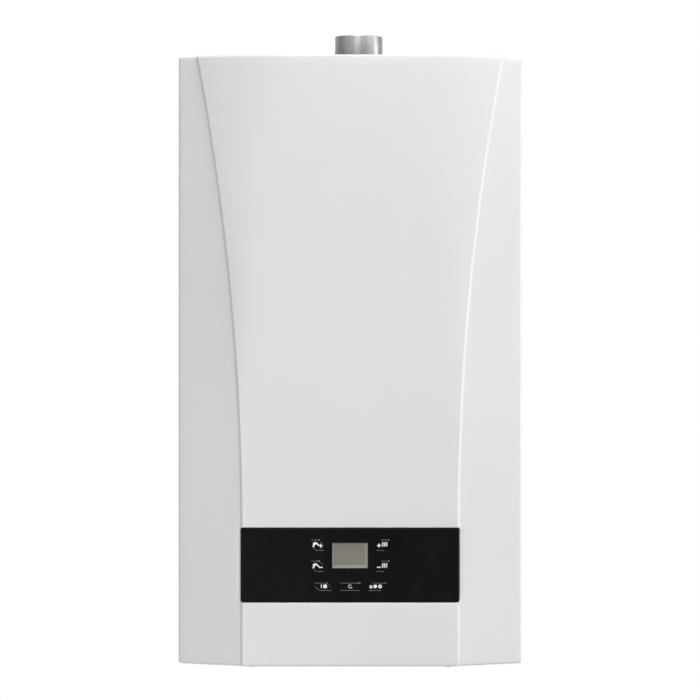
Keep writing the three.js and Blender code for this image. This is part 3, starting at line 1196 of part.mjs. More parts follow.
function pumpVolute() {
  const half = VOLUTE_DEPTH / 2;
  const body = join(
    rod([0, half, 0], [0, -half, 0], PUMP_RADIUS, 16),
    rod([0, 0, 0], [0, 0, -PUMP_NECK], GROUP_RADIUS - 4, 8),
    rod([0, 0, 6 - PUMP_NECK], [0, 0, -PUMP_NECK], GROUP_RADIUS + 4, 10),
    rod([0, 0, 0], [0, 0, PUMP_NECK], PIPE_RADIUS, 8),
    rod([PUMP_OUTLET_X, 0, 0], [PUMP_OUTLET_X, 0, PUMP_OUTLET], PIPE_RADIUS + 2, 8),
  );
  return cut(body,
    rod([0, half - PUMP_WALL, 0], [0, -half + PUMP_WALL, 0], PUMP_RADIUS - PUMP_WALL, 16),
    rod([0, 0, 8 - PUMP_RADIUS], [0, 0, -PUMP_NECK - 1], GROUP_RADIUS - 8, 8),
    rod([PUMP_OUTLET_X, 0, 4], [PUMP_OUTLET_X, 0, PUMP_OUTLET + 1], PIPE_RADIUS - 2, 8),
    rod([0, 0, PUMP_RADIUS - 6], [0, 0, PUMP_NECK + 1], PUMP_WALL, 8),
    bore([0, -half + PUMP_WALL + 1, 0], [0, -half - 1, 0], SHAFT_ROOM, 8));
}

// Wheel: six curved vanes on a disc, and the shaft that runs into the motor.
function pumpImpeller() {
  const disc = 3;
  const vane = 12;
  const vanes = Array.from({ length: 6 }, (_, i) => {
    const turn = THREE.MathUtils.degToRad(60 * i);
    const curve = PUMP_WHEEL - 6;
    const outline = [
      ...arc(curve / 2, -vane, curve, 30, 100, 2), ...arc(curve / 2, -vane, curve - 1.6, 100, 30, 2),
    ].map(([a, b]) => [
      a * Math.cos(turn) - b * Math.sin(turn), a * Math.sin(turn) + b * Math.cos(turn),
    ]);
    return pulled('front', outline, disc - vane, vane);
  });
  return join(
    rod([0, -disc, 0], [0, -2 * disc, 0], PUMP_WHEEL, 12),
    rod([0, vane - disc, 0], [0, -2 * disc, 0], SHAFT_ROOM + 2, 8),
    vanes,
    rod([0, -disc, 0], [0, -VOLUTE_DEPTH / 2 - 10, 0], SHAFT_ROOM - RUNNING_GAP, 8),
  );
}

const MOTOR_FLANGE = 8;
const MOTOR_RIBS = 2;
const MOTOR_RIB_PITCH = 27;

// Canned motor in front of the volute: ribbed round body, terminal box and a vent plug.
function pumpMotor() {
  const back = -VOLUTE_DEPTH / 2 - SEAT;
  const rib = PUMP_RADIUS - 3;
  const root = rib - 3;
  const profile = [[0, 0], [rib + 1, 0], [rib + 1, MOTOR_FLANGE]];
  for (let i = 0; i < MOTOR_RIBS; i++) {
    const start = MOTOR_FLANGE + 1 + MOTOR_RIB_PITCH * i;
    profile.push([root, start], [root, start + MOTOR_RIB_PITCH / 2],
      [rib, start + MOTOR_RIB_PITCH / 2 + 1], [rib, start + MOTOR_RIB_PITCH - 1]);
  }
  const end = MOTOR_FLANGE + 1 + MOTOR_RIB_PITCH * MOTOR_RIBS;
  profile.push([root, end], [root - 4, end + 10], [MOTOR_FLANGE, end + 10],
    [MOTOR_FLANGE, end + 13], [0, end + 13]);
  const body = turned(profile, [0, back, 0], [0, -1, 0], 12);
  const box = pulled('front', rounded(6 - root, PUMP_RADIUS / 2, root - 6, PUMP_RADIUS + 6, 4),
    12 - back, PUMP_RADIUS);
  const well = bore([0, back + 1, 0], [0, back - 16, 0], SHAFT_ROOM, 8);
  return cut(join(body, box), well);
}

function airVent() {
  const low = PUMP_NECK + SEAT;
  return turned([
    [0, 0], [8, 0], [8, 4], [13, 7], [13, 25], [10, 28], [5, 28], [5, 34], [3, 36], [0, 36],
  ], [0, 0, low], [0, 0, 1], 8);
}

function makePump() {
  return group(PUMP_X, -TAIL_DEPTH, PUMP_HEIGHT,
    piece('pump_volute', pumpVolute(), 'castGreen'),
    piece('pump_impeller', pumpImpeller(), 'whitePlastic'),
    piece('pump_motor', pumpMotor(), 'greyPlastic'),
    piece('air_vent', airVent(), 'brass'));
}

// ---------------------------------------------------------------- pipes

function flowPipe() {
  const middle = EXCHANGER_BOTTOM + EXCHANGER_HEIGHT / 2;
  return pipe([
    [-STUB_END - SEAT, -RISER_STUB_LEFT, middle], [-RISER_X, -RISER_STUB_LEFT, middle],
    [-RISER_X, -RISER_STUB_LEFT, middle - 60], [-RISER_X, -RISER_DEPTH, middle - 105],
    [-RISER_X, -RISER_DEPTH, CHAMBER_BOTTOM - 24],
    [FLOW_STUB_X, -TAIL_DEPTH, CHAMBER_BOTTOM - 46],
    [FLOW_STUB_X, -TAIL_DEPTH, FLOW_STUB_TOP + SEAT],
  ], PIPE_RADIUS, 14, 8);
}

function returnPipe() {
  const middle = EXCHANGER_BOTTOM + EXCHANGER_HEIGHT / 2;
  return pipe([
    [STUB_END + SEAT, -RISER_STUB_RIGHT, middle], [RISER_X, -RISER_STUB_RIGHT, middle],
    [RISER_X, -RISER_STUB_RIGHT, middle - 60], [RISER_X, -RISER_DEPTH, middle - 105],
    [RISER_X, -RISER_DEPTH, CHAMBER_BOTTOM - 8],
    [PUMP_X + PUMP_OUTLET_X, -TAIL_DEPTH, PUMP_HEIGHT + PUMP_OUTLET + 22],
    [PUMP_X + PUMP_OUTLET_X, -TAIL_DEPTH, PUMP_HEIGHT + PUMP_OUTLET + SEAT],
  ], PIPE_RADIUS, 9, 8);
}

function vesselPipe() {
  const turn = PORT_HIGH + PLATE_HEIGHT / 2 - 4;
  return pipe([
    [VESSEL_PIPE_X, -VESSEL_PIPE_DEPTH, VESSEL_HEIGHT - VESSEL_RADIUS - 4 - SEAT],
    [VESSEL_PIPE_X, -VESSEL_PIPE_DEPTH, turn],
    [VESSEL_PIPE_X, -TAIL_DEPTH, turn],
    [VESSEL_PIPE_X, -TAIL_DEPTH, GROUP_HEIGHT + GROUP_RADIUS + SEAT],
  ], VESSEL_PIPE, 10, 8);
}

// ---------------------------------------------------------------- gas line

const VALVE_BOTTOM = 98;
const VALVE_HEIGHT = 92;

function gasPipeLower() {
  const y = -TAIL_DEPTH;
  const bendHeight = GROUP_HEIGHT - 14;
  const threaded = cut(join(
    rod([GAS_X, y, TAIL_END], [GAS_X, y, GROUP_SEAT + 6], TAIL_LARGE, 10),
    rod([GAS_X, y, GROUP_SEAT], [GAS_X, y, GROUP_SEAT + 11], TAIL_LARGE + 5, 6),
  ), rod([GAS_X, y, TAIL_END - 1], [GAS_X, y, TAIL_END + 18], TAIL_LARGE - TAIL_WALL, 8));
  return join(threaded, pipe([
    [GAS_X, y, GROUP_SEAT + 8], [GAS_X, y, bendHeight], [GAS_X, -GAS_DEPTH, bendHeight],
    [GAS_X, -GAS_DEPTH, VALVE_BOTTOM - SEAT],
  ], GAS_PIPE_RADIUS, 12, 8));
}

// Gas valve: a die-cast body with flanged inlet and outlet, shut-off coils and a modulating coil.
function gasValve() {
  const x = GAS_X;
  const y = -GAS_DEPTH;
  const low = VALVE_BOTTOM;
  const high = low + VALVE_HEIGHT;
  return join(
    pulled('front', rounded(x - 30, low + 12, x + 30, high - 12, 8), GAS_DEPTH - 24, 46),
    rod([x, y, low], [x, y, low + 16], GAS_PIPE_RADIUS + 5, 6),
    rod([x, y, high - 16], [x, y, high], GAS_PIPE_RADIUS + 5, 6),
    rod([x + 28, y, low + 34], [x + 52, y, low + 34], 15, 10),
    pulled('front', rounded(x - 20, low + 18, x + 14, low + 52, 4), GAS_DEPTH + 20, 24),
    rod([x + 2, y - 20, high - 26], [x + 2, y - 34, high - 26], 11, 8),
    rod([x + 2, y - 32, high - 26], [x + 2, y - 38, high - 26], 7, 6),
  );
}

function gasPipeUpper() {
  const low = VALVE_BOTTOM + VALVE_HEIGHT + SEAT;
  return pipe([
    [GAS_X, -GAS_DEPTH, low], [GAS_X, -GAS_DEPTH, CHAMBER_BOTTOM + 8.5],
    [GAS_X, -MANIFOLD_DEPTH + 1, CHAMBER_BOTTOM + 8.5],
    [GAS_X, -MANIFOLD_DEPTH + 1, MANIFOLD_HEIGHT - MANIFOLD_HALF - SEAT],
  ], GAS_PIPE_RADIUS - 1.5, 7, 8);
}

// ---------------------------------------------------------------- pressure gauge under the tray

const GAUGE_FACE = TRAY_HEIGHT - 8;      // height of the rim's lower edge
const GAUGE_RIM = 3;
const GAUGE_DIAL = 5.8;          // dial above the rim's lower edge
const GAUGE_LENGTH = 31;
const GAUGE_PIVOT = 1.5;

function makeGauge() {
  const well = GAUGE_RADIUS - 2;
  const seat = TRAY_HEIGHT - GAUGE_FACE - SEAT;
  const foot = GAUGE_DIAL - 0.8;
  const body = turned([
    [0, foot], [GAUGE_PIVOT + 3, foot], [GAUGE_PIVOT + 3, GAUGE_DIAL], [well, GAUGE_DIAL], [well, 0],
    [GAUGE_RADIUS + GAUGE_RIM, 0], [GAUGE_RADIUS + GAUGE_RIM, seat], [GAUGE_RADIUS, seat],
    [GAUGE_RADIUS, GAUGE_LENGTH - 4], [well / 2, GAUGE_LENGTH], [0, GAUGE_LENGTH],
  ], [0, 0, 0], [0, 0, 1], 12);
  const bored = cut(body, bore([0, 0, 0], [0, 0, 2 * GAUGE_DIAL], GAUGE_PIVOT + SEAT, 8));
  const low = GAUGE_DIAL - 2.6;
  const needle = join(
    rod([0, 0, low], [0, 0, GAUGE_DIAL + 4], GAUGE_PIVOT, 8),
    rod([0, 0, low], [0, 0, low + 1.2], 2 * GAUGE_PIVOT, 8),
    pulled('up', [[-1.6, -5], [1.6, -5], [0.7, well - 3.5], [-0.7, well - 3.5]], low, 1),
  );
  const glass = rod([0, 0, 0.4], [0, 0, 2], well - SEAT, 12);
  return group(GAUGE_X, -GAUGE_DEPTH, GAUGE_FACE,
    piece('pressure_gauge', bored, 'blackPlastic'),
    piece('gauge_needle', needle, 'redPlastic'),
    piece('gauge_glass', glass, 'glass'));
}

// ---------------------------------------------------------------- control box, modelled about its hinge

// A key's outline about its centre: two opposite corners cut, or none.
function keyOutline(width, height, lean, grow = 0) {
  const w = width / 2 + grow;
  const h = height / 2 + grow;
  const c = Math.min(KEY_CORNER, 0.62 * height) + grow * (2 - Math.SQRT2);
  if (lean === 0) return [[-w, -h], [w, -h], [w, h], [-w, h]];
  const right = [[-w + c, -h], [w, -h], [w, h - c], [w - c, h], [-w, h], [-w, -h + c]];
  return lean > 0 ? right : right.map(([x, z]) => [-x, z]).reverse();
}

// Keys: name, centre across and up, width, height and which way the cut corners lean.
const PAD_X = 37.3;
const PAD_UPPER = 139.7;
const PAD_LOWER = 115.4;
const ROW_HEIGHT = 91.9;
const KEYS = [
  ['key_hot_water_up', -PAD_X, PAD_UPPER, 15.5, 12.9, 1],
  ['key_hot_water_down', -PAD_X, PAD_LOWER, 15.5, 12.9, 1],
  ['key_heating_up', PAD_X, PAD_UPPER, 15.5, 12.9, -1],
  ['key_heating_down', PAD_X, PAD_LOWER, 15.5, 12.9, -1],
  ['key_power', -31, ROW_HEIGHT, 20.8, 9.4, 1],
  ['key_reset', 0, ROW_HEIGHT, 23.1, 9.3, 0],
  ['key_mode', 31, ROW_HEIGHT, 20.8, 9.4, -1],
];

// Distances in the control box count from its hinge: forward is negative y, up is positive z.
const forward = (depth) => -(depth - HINGE_DEPTH);
const above = (height) => height - HINGE_HEIGHT;

function moved(outline, x, z) {
  return outline.map(([a, b]) => [a + x, b + z]);
}

// A block in the control box, given by distances from the wall and heights above the casing's bottom.
function boxBlock(left, right, back, front, low, high) {
  return block([left, forward(front), above(low)], [right, forward(back), above(high)]);
}

function boxPull(outline, back, length) {
  return pulled('front', moved(outline, 0, -HINGE_HEIGHT), back - HINGE_DEPTH, length);
}

function fascia() {
  const half = FASCIA_WIDTH / 2;
  const back = FASCIA_FACE - FASCIA_SKIRT;
  const body = boxPull(rounded(-half, FASCIA_BOTTOM, half, FASCIA_TOP, FASCIA_CORNER),
    back, FASCIA_SKIRT);
  const hollow = boxPull(rounded(-half + FASCIA_WALL, FASCIA_BOTTOM + FASCIA_WALL, half - FASCIA_WALL,
    FASCIA_TOP - FASCIA_WALL, 0.5, 1), back - 1, FASCIA_SKIRT - FASCIA_WALL + 1);
  const windowCut = boxPull(rounded(-WINDOW_WIDTH / 2, WINDOW_CENTRE - WINDOW_HEIGHT / 2,
    WINDOW_WIDTH / 2, WINDOW_CENTRE + WINDOW_HEIGHT / 2, 0.6, 1), back, 2 * FASCIA_SKIRT);
  const keyCuts = KEYS.map(([, x, z, width, height, lean]) =>
    boxPull(moved(keyOutline(width, height, lean, KEY_GAP), x, z), back, 2 * FASCIA_SKIRT));
  return cut(body, hollow, windowCut, keyCuts);
}

function key([, x, z, width, height, lean]) {
  const face = FASCIA_FACE - KEY_RECESS;
  const collarFront = FASCIA_FACE - FASCIA_WALL - SEAT;
  const stemEnd = BOARD_DEPTH + SWITCH_RISE + KEY_TRAVEL + SEAT;
  return join(
    boxPull(moved(keyOutline(width, height, lean), x, z),
      collarFront - KEY_COLLAR, face - collarFront + KEY_COLLAR),
    boxPull(moved(keyOutline(width, height, lean, KEY_COLLAR), x, z),
      collarFront - KEY_COLLAR, KEY_COLLAR),
    rod([x, forward(collarFront - 0.5), above(z)], [x, forward(stemEnd), above(z)], 2, 8),
  );
}

const DISPLAY_RIM = 5;           // display module behind the fascia, beside its window
const DISPLAY_THICKNESS = 7;
const DISPLAY_RECESS = 1.1;

function displayModule() {
  const low = WINDOW_CENTRE - WINDOW_HEIGHT / 2;
  const high = WINDOW_CENTRE + WINDOW_HEIGHT / 2;
  const back = FASCIA_FACE - FASCIA_WALL - SEAT;
  return join(
    boxBlock(-WINDOW_WIDTH / 2 + SEAT, WINDOW_WIDTH / 2 - SEAT, back - 1, FASCIA_FACE - DISPLAY_RECESS,
      low + SEAT, high - SEAT),
    boxBlock(-WINDOW_WIDTH / 2 - DISPLAY_RIM, WINDOW_WIDTH / 2 + DISPLAY_RIM,
      back - DISPLAY_THICKNESS, back, low - 3, high + 3),
    [-WINDOW_WIDTH / 2, WINDOW_WIDTH / 2].map((x) => boxBlock(x - 2, x + 2,
      BOARD_DEPTH + SEAT, back - DISPLAY_THICKNESS + 1, high - 6, high - 2)),
  );
}

const BOX_CORNER = 5;
const POST_LENGTH = 12;          // board's posts behind the board, from the box's rear face
const POST_REACH = 16;
const COVER_THICKNESS = 2.5;

// Box shell: a moulded tube behind the fascia, with hinge pins on lugs and posts for the board.
function controlBoxShell() {
  const half = BOX_WIDTH / 2;
  const front = FASCIA_FACE - FASCIA_SKIRT - SEAT;
  const outer = boxPull(rounded(-half, BOX_BOTTOM, half, BOX_BOTTOM + BOX_HEIGHT, BOX_CORNER),
    BOX_BACK, front - BOX_BACK);
  const inner = boxPull(rounded(-half + BOX_WALL, BOX_BOTTOM + BOX_WALL, half - BOX_WALL,
    BOX_BOTTOM + BOX_HEIGHT - BOX_WALL, BOX_CORNER - 2), BOX_BACK - 1, front - BOX_BACK + 2);
  const posts = [-1, 1].flatMap((side) => [BOX_BOTTOM + 10, BOX_BOTTOM + BOX_HEIGHT - 10].map((z) =>
    boxBlock(side > 0 ? half - POST_REACH : -half + 1, side > 0 ? half - 1 : -half + POST_REACH,
      BOX_BACK + POST_LENGTH, BOARD_DEPTH - BOARD_THICKNESS - SEAT, z - 4, z + 4)));
  const lug = 2 * HINGE_PIN;
  const lugTop = BOX_BOTTOM - HINGE_HEIGHT + HINGE_PIN;
  const pins = [-1, 1].map((side) => join(
    rod([side * (half - 1), 0, 0], [side * (EAR_INNER + EAR_SHEET), 0, 0], HINGE_PIN, 8),
    pulled('x', [[lug, lugTop], [-lug, lugTop], [1 - lug, -HINGE_PIN], [0, 0.5 - lug], [lug - 1, -HINGE_PIN]]
      .reverse(), side > 0 ? half - 4 : -half, 4),
  ));
  return join(cut(outer, inner), posts, pins);
}

function controlBoxCover() {
  const half = BOX_WIDTH / 2 - BOX_WALL - SEAT;
  const low = BOX_BOTTOM + BOX_WALL + SEAT;
  const high = BOX_BOTTOM + BOX_HEIGHT - BOX_WALL - SEAT;
  const corner = BOX_CORNER - BOX_WALL;
  const plate = boxPull(rounded(-half, low, half, high, corner), BOX_BACK, COVER_THICKNESS);
  const rim = cut(
    boxPull(rounded(-half, low, half, high, corner), BOX_BACK + 2, 6),
    boxPull(rounded(-half + 2, low + 2, half - 2, high - 2, corner - 1), BOX_BACK + 1, 8));
  const count = 6;
  const pitch = half / count;
  const slots = Array.from({ length: count }, (_, i) => {
    const x = pitch * (i - (count - 1) / 2);
    return boxBlock(x - pitch / 3, x + pitch / 3, BOX_BACK - 1, BOX_BACK + COVER_THICKNESS + 1,
      high - 30, high - 14);
  });
  return cut(join(plate, rim), slots);
}

// Main board: relays, transformer, connectors and one tactile switch under each key.
function mainBoard() {
  const half = BOX_WIDTH / 2 - 8;
  const low = BOX_BOTTOM + 5;
  const high = BOX_BOTTOM + BOX_HEIGHT - 5;
  const back = BOARD_DEPTH - BOARD_THICKNESS;
  const board = boxBlock(-half, half, back, BOARD_DEPTH, low, high);
  const switches = KEYS.map(([, x, z]) =>
    boxBlock(x - 3, x + 3, BOARD_DEPTH - 0.5, BOARD_DEPTH + SWITCH_RISE, z - 3, z + 3));
  const part = (share, rise, width, height, depth) => boxBlock(
    share * half - width / 2, share * half + width / 2, back - depth, back + 0.5,
    low + rise, low + rise + height);
  const relays = [-0.62, -0.44, 0.5].map((share) => part(share, 44, 16, 18, 15));
  const connectors = [-0.79, -0.5, -0.21, 0.27, 0.55].map((share) => part(share, 4, 24, 8, 10));
  const transformer = part(0, 28, 42, 36, 30);
  const capacitorX = 0.79 * half;
  const fuse = rod([0.7 * half, forward(back - 4), above(low + 50)],
    [0.93 * half, forward(back - 4), above(low + 50)], 5, 8);
  const capacitor = rod([capacitorX, forward(back + 0.5), above(low + 26)],
    [capacitorX, forward(back - 20), above(low + 26)], 8, 12);
  return join(board, switches, relays, connectors, transformer, fuse, capacitor);
}

function makeControlBox() {
  return group(0, -HINGE_DEPTH, HINGE_HEIGHT,
    piece('fascia', fascia(), 'blackGloss'),
    piece('display_module', displayModule(), 'display'),
    piece('control_box_shell', controlBoxShell(), 'greyPlastic'),
    piece('control_box_cover', controlBoxCover(), 'greyPlastic'),
    piece('main_board', mainBoard(), 'board'),
    ...KEYS.map((row) => piece(row[0], key(row), 'blackGloss')));
}

// ---------------------------------------------------------------- the boiler

function makeFrame() {
  return group(0, 0, 0,
    piece('back_plate', backPlate(), 'galvanised'),
    piece('hanging_rail', hangingRail(), 'galvanised'),
    piece('bottom_tray', bottomTray(), 'galvanised'),
    piece('casing_screw_left', casingScrew(-1), 'steel'),
    piece('casing_screw_right', casingScrew(1), 'steel'),
    piece('cable_gland', cableGland(), 'blackPlastic'),
    piece('expansion_vessel', expansionVessel(), 'redPaint'));
}

function makeAirChamber() {
  return group(0, 0, 0,
    piece('air_chamber_shell', airChamberShell(), 'galvanised'),
    piece('air_chamber_cover', airChamberCover(), 'galvanised'),
    piece('sight_glass', sightGlass(), 'glass'),
    piece('flue_flange', flueFlange(), 'aluminium'),
    piece('flue_stub', flueStub(), 'aluminium'),
    piece('flue_hood', flueHood(), 'aluminium'),
    piece('heat_exchanger', heatExchanger(), 'copper'),
    piece('combustion_chamber', combustionChamber(), 'fibre'),
    piece('burner_rack', burnerRack(), 'steel'),
    piece('gas_manifold', gasManifold(), 'aluminium'),
    piece('ignition_electrode', electrode(-ELECTRODE_X, 8), 'ceramic'),
    piece('sensing_electrode', electrode(ELECTRODE_X, 4), 'ceramic'),
    piece('air_pressure_switch', airPressureSwitch(), 'blackPlastic'),
    piece('pressure_tube', pressureTube(), 'silicone'),
    makeFan());
}

function makeWaterSide() {
  return group(0, 0, 0,
    piece('flow_group', flowGroup(), 'brass'),
    piece('diverter_spindle', diverterSpindle(), 'steel'),
    piece('diverter_actuator', diverterActuator(), 'blackPlastic'),
    piece('return_group', returnGroup(), 'brass'),
    piece('plate_heat_exchanger', plateHeatExchanger(), 'steel'),
    piece('safety_valve', safetyValve(), 'brass'),
    piece('safety_valve_knob', safetyValveKnob(), 'redPlastic'),
    piece('filling_knob', tapKnob(1.5 * TAIL_PITCH), 'bluePlastic'),
    piece('drain_knob', tapKnob(-1.5 * TAIL_PITCH), 'blackPlastic'),
    piece('flow_pipe', flowPipe(), 'copper'),
    piece('return_pipe', returnPipe(), 'copper'),
    piece('vessel_pipe', vesselPipe(), 'copper'),
    makePump(),
    makeGauge());
}

function makeGasLine() {
  return group(0, 0, 0,
    piece('gas_pipe_lower', gasPipeLower(), 'steel'),
    piece('gas_valve', gasValve(), 'aluminium'),
    piece('gas_pipe_upper', gasPipeUpper(), 'steel'));
}

const boiler = group(0, 0, -HANG_HEIGHT,
  piece('casing_shell', casingShell(), 'enamel'),
  makeFrame(),
  makeAirChamber(),
  makeWaterSide(),
  makeGasLine(),
  makeControlBox());

export default boiler;
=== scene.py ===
"""The finished surfaces of a wall-hung combi boiler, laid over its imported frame."""

import math

import bmesh
import bpy
from mathutils import Matrix, Vector
from mathutils.geometry import tessellate_polygon


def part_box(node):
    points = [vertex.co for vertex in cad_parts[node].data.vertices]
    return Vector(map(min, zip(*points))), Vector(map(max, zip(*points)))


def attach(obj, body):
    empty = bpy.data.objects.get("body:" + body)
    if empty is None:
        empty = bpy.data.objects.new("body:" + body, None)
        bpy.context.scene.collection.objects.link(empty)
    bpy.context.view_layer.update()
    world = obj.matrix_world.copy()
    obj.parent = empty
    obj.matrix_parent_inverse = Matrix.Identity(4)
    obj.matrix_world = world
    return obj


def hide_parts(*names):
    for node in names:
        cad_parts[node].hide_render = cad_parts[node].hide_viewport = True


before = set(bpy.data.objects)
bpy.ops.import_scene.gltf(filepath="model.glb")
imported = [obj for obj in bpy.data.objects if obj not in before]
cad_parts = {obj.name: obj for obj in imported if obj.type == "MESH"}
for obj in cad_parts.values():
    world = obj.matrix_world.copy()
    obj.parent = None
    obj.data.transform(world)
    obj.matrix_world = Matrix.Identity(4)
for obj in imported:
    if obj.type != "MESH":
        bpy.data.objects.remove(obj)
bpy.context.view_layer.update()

# ---------------------------------------------------------------- studio
# A long lens at the height of the boiler's middle, level and square to its front. Large lamps stand at
# the right, above the camera, low at the left, over the boiler and behind it, under an even sky. The
# floor lies well below the boiler, so that its underside can be seen too.

MM = 0.001
casing_low, casing_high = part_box("casing_shell")
BASE = casing_low.z
EYE_DISTANCE = 3369 * MM
EYE_HEIGHT = BASE + 398 * MM
FOCAL_LENGTH = 137.4
FRAME_SHIFT = -0.0422
SKY_STRENGTH = 0.17
FLOOR_DROP = 2700 * MM
FLOOR_REACH = 12
FLOOR_TONE = 0.8


def shown(name, data, place=(0, 0, 0)):
    """A new object in the scene."""
    made = bpy.data.objects.new(name, data)
    made.location = place
    bpy.context.scene.collection.objects.link(made)
    return made


camera = shown("studio_camera", bpy.data.cameras.new("studio_camera"), (0, -EYE_DISTANCE, EYE_HEIGHT))
camera.rotation_euler = (math.pi / 2, 0, 0)
camera.data.sensor_width = 36
camera.data.lens = FOCAL_LENGTH
camera.data.shift_y = FRAME_SHIFT
camera.data.clip_end = 50
bpy.context.scene.camera = camera
bpy.context.scene.view_settings.view_transform = "Standard"

for name, place, aim, width, watts in (
        ("window_lamp", (2.1, -2.1, 1.35), (0, -0.2, -0.2), 1.3, 41),
        ("front_lamp", (0.1, -3.7, 1.3), (0, -0.3, -0.3), 1.4, 29),
        ("side_lamp", (2.6, 0.1, -0.4), (0, -0.27, -0.4), 1.2, 24),
        ("low_lamp", (-1.0, -3.0, -1.35), (0, -0.27, -0.4), 1.2, 28),
        ("top_lamp", (0.15, -0.45, 2.0), (0, -0.27, -0.3), 1.0, 26),
        ("rear_lamp", (-1.6, 2.6, 0.9), (0, -0.1, -0.3), 1.6, 30)):
    lamp = shown(name, bpy.data.lights.new(name, "AREA"), place)
    lamp.data.shape = "SQUARE"
    lamp.data.size = width
    lamp.data.energy = watts
    lamp.rotation_euler = (Vector(aim) - Vector(place)).to_track_quat("-Z", "Y").to_euler()


def wired(tree, kind, *entries, settings=(), **inputs):
    """A new node. Its entries, in order or by name, take values or the outputs of other nodes."""
    node = tree.nodes.new(kind)
    for setting, value in dict(settings).items():
        setattr(node, setting, value)
    named = [(node.inputs[label.replace("_", " ")], value) for label, value in inputs.items()]
    for entry, value in [*zip(node.inputs, entries), *named]:
        value = getattr(value, "socket", value)
        if isinstance(value, bpy.types.Node):
            value = value.outputs[0]
        if isinstance(value, bpy.types.NodeSocket):
            tree.links.new(value, entry)
        else:
            entry.default_value = value
    return node


def cleared(owner):
    """The empty node tree of a material or a world."""
    owner.use_nodes = True
    owner.node_tree.nodes.clear()
    return owner.node_tree


def seen_white(tree, lit, white, output):
    """The white shader where a surface or the sky is seen, and the lit one for all other rays."""
    path = wired(tree, "ShaderNodeLightPath").outputs
    seen = path["Is Camera Ray"]
    for ray in ("Is Glossy Ray", "Is Transmission Ray"):
        seen = wired(tree, "ShaderNodeMath", seen, path[ray], settings={"operation": "MAXIMUM"})
    wired(tree, output, wired(tree, "ShaderNodeMixShader", seen, lit, white))


sky = bpy.data.worlds.new("studio_sky")
bpy.context.scene.world = sky
sky_tree = cleared(sky)
sky_light, sky_white = (wired(sky_tree, "ShaderNodeBackground", (1, 1, 1, 1), strength)
                        for strength in (SKY_STRENGTH, 1.0))
seen_white(sky_tree, sky_light, sky_white, "ShaderNodeOutputWorld")

floor_mesh = bpy.data.meshes.new("studio_floor")
floor_mesh.from_pydata([(x * FLOOR_REACH, y * FLOOR_REACH, BASE - FLOOR_DROP)
                        for x, y in ((-1, -1), (1, -1), (1, 1), (-1, 1))], [], [(0, 1, 2, 3)])
shown("studio_floor", floor_mesh)
floor_paint = bpy.data.materials.new("studio_floor")
floor_tree = cleared(floor_paint)
floor_matt = wired(floor_tree, "ShaderNodeBsdfDiffuse", (FLOOR_TONE, FLOOR_TONE, FLOOR_TONE, 1))
floor_glow = wired(floor_tree, "ShaderNodeEmission", Strength=1.0)
floor_lift = wired(floor_tree, "ShaderNodeAddShader", floor_matt, floor_glow)
seen_white(floor_tree, floor_matt, floor_lift, "ShaderNodeOutputMaterial")
floor_mesh.materials.append(floor_paint)

# ---------------------------------------------------------------- casing
# One sheet of 1 mm steel, pressed with two creases that flare out towards the top, folded back all
# round and powder-coated white. Its lower front has an opening with a rolled edge for the fascia.

CASING_SHEET = 1 * MM
SIDE_DEPTH = 269 * MM
WALL_GAP = -casing_high.y
FIELD_HALF = 123.4 * MM
FLARE_START = 157 * MM
FLARE_RADIUS = 2880 * MM
CREASE_STEP = 4.2 * MM
CREASE_SPREAD = 3.8 * MM
ROLL_SLOPE = 0.33
CASING_BEND = 3 * MM
FLANGE_DEPTH = 18 * MM
EAR_RISE = 1.2 * MM
EAR_SPREAD = 3.5 * MM
CASING_HALF = casing_high.x
CASING_HEIGHT = casing_high.z - BASE
CASING_DEPTH = -casing_low.y
ROLL_RADIUS = 1.6 * MM
OPENING_CORNER = 2.5 * MM + ROLL_RADIUS
fascia_low, fascia_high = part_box("fascia")
OPENING_LOW = fascia_low.z - BASE - 0.5 * MM - ROLL_RADIUS
OPENING_HIGH = fascia_high.z - BASE + 0.5 * MM + ROLL_RADIUS
OPENING_HALF = FIELD_HALF + CREASE_SPREAD


class Amount:
    """A number in a Geometry Nodes tree that plain arithmetic can be written with."""

    def __init__(self, tree, socket):
        self.tree = tree
        self.socket = socket

    def math(self, operation, *others):
        node = wired(self.tree, "ShaderNodeMath", self, *others, settings={"operation": operation})
        return Amount(self.tree, node.outputs[0])

    def __add__(self, other):
        return self.math("ADD", other)

    def __sub__(self, other):
        return self.math("SUBTRACT", other)

    def __mul__(self, other):
        return self.math("MULTIPLY", other)

    def __truediv__(self, other):
        return self.math("DIVIDE", other)

    def __neg__(self):
        return self * -1

    __radd__ = __add__
    __rmul__ = __mul__

    def at_least(self, other):
        return self.math("MAXIMUM", other)

    def share(self, start, end):
        """How far this amount has come from start to end, between 0 and 1."""
        node = wired(self.tree, "ShaderNodeMapRange", Value=self, From_Min=start, From_Max=end)
        return Amount(self.tree, node.outputs[0])


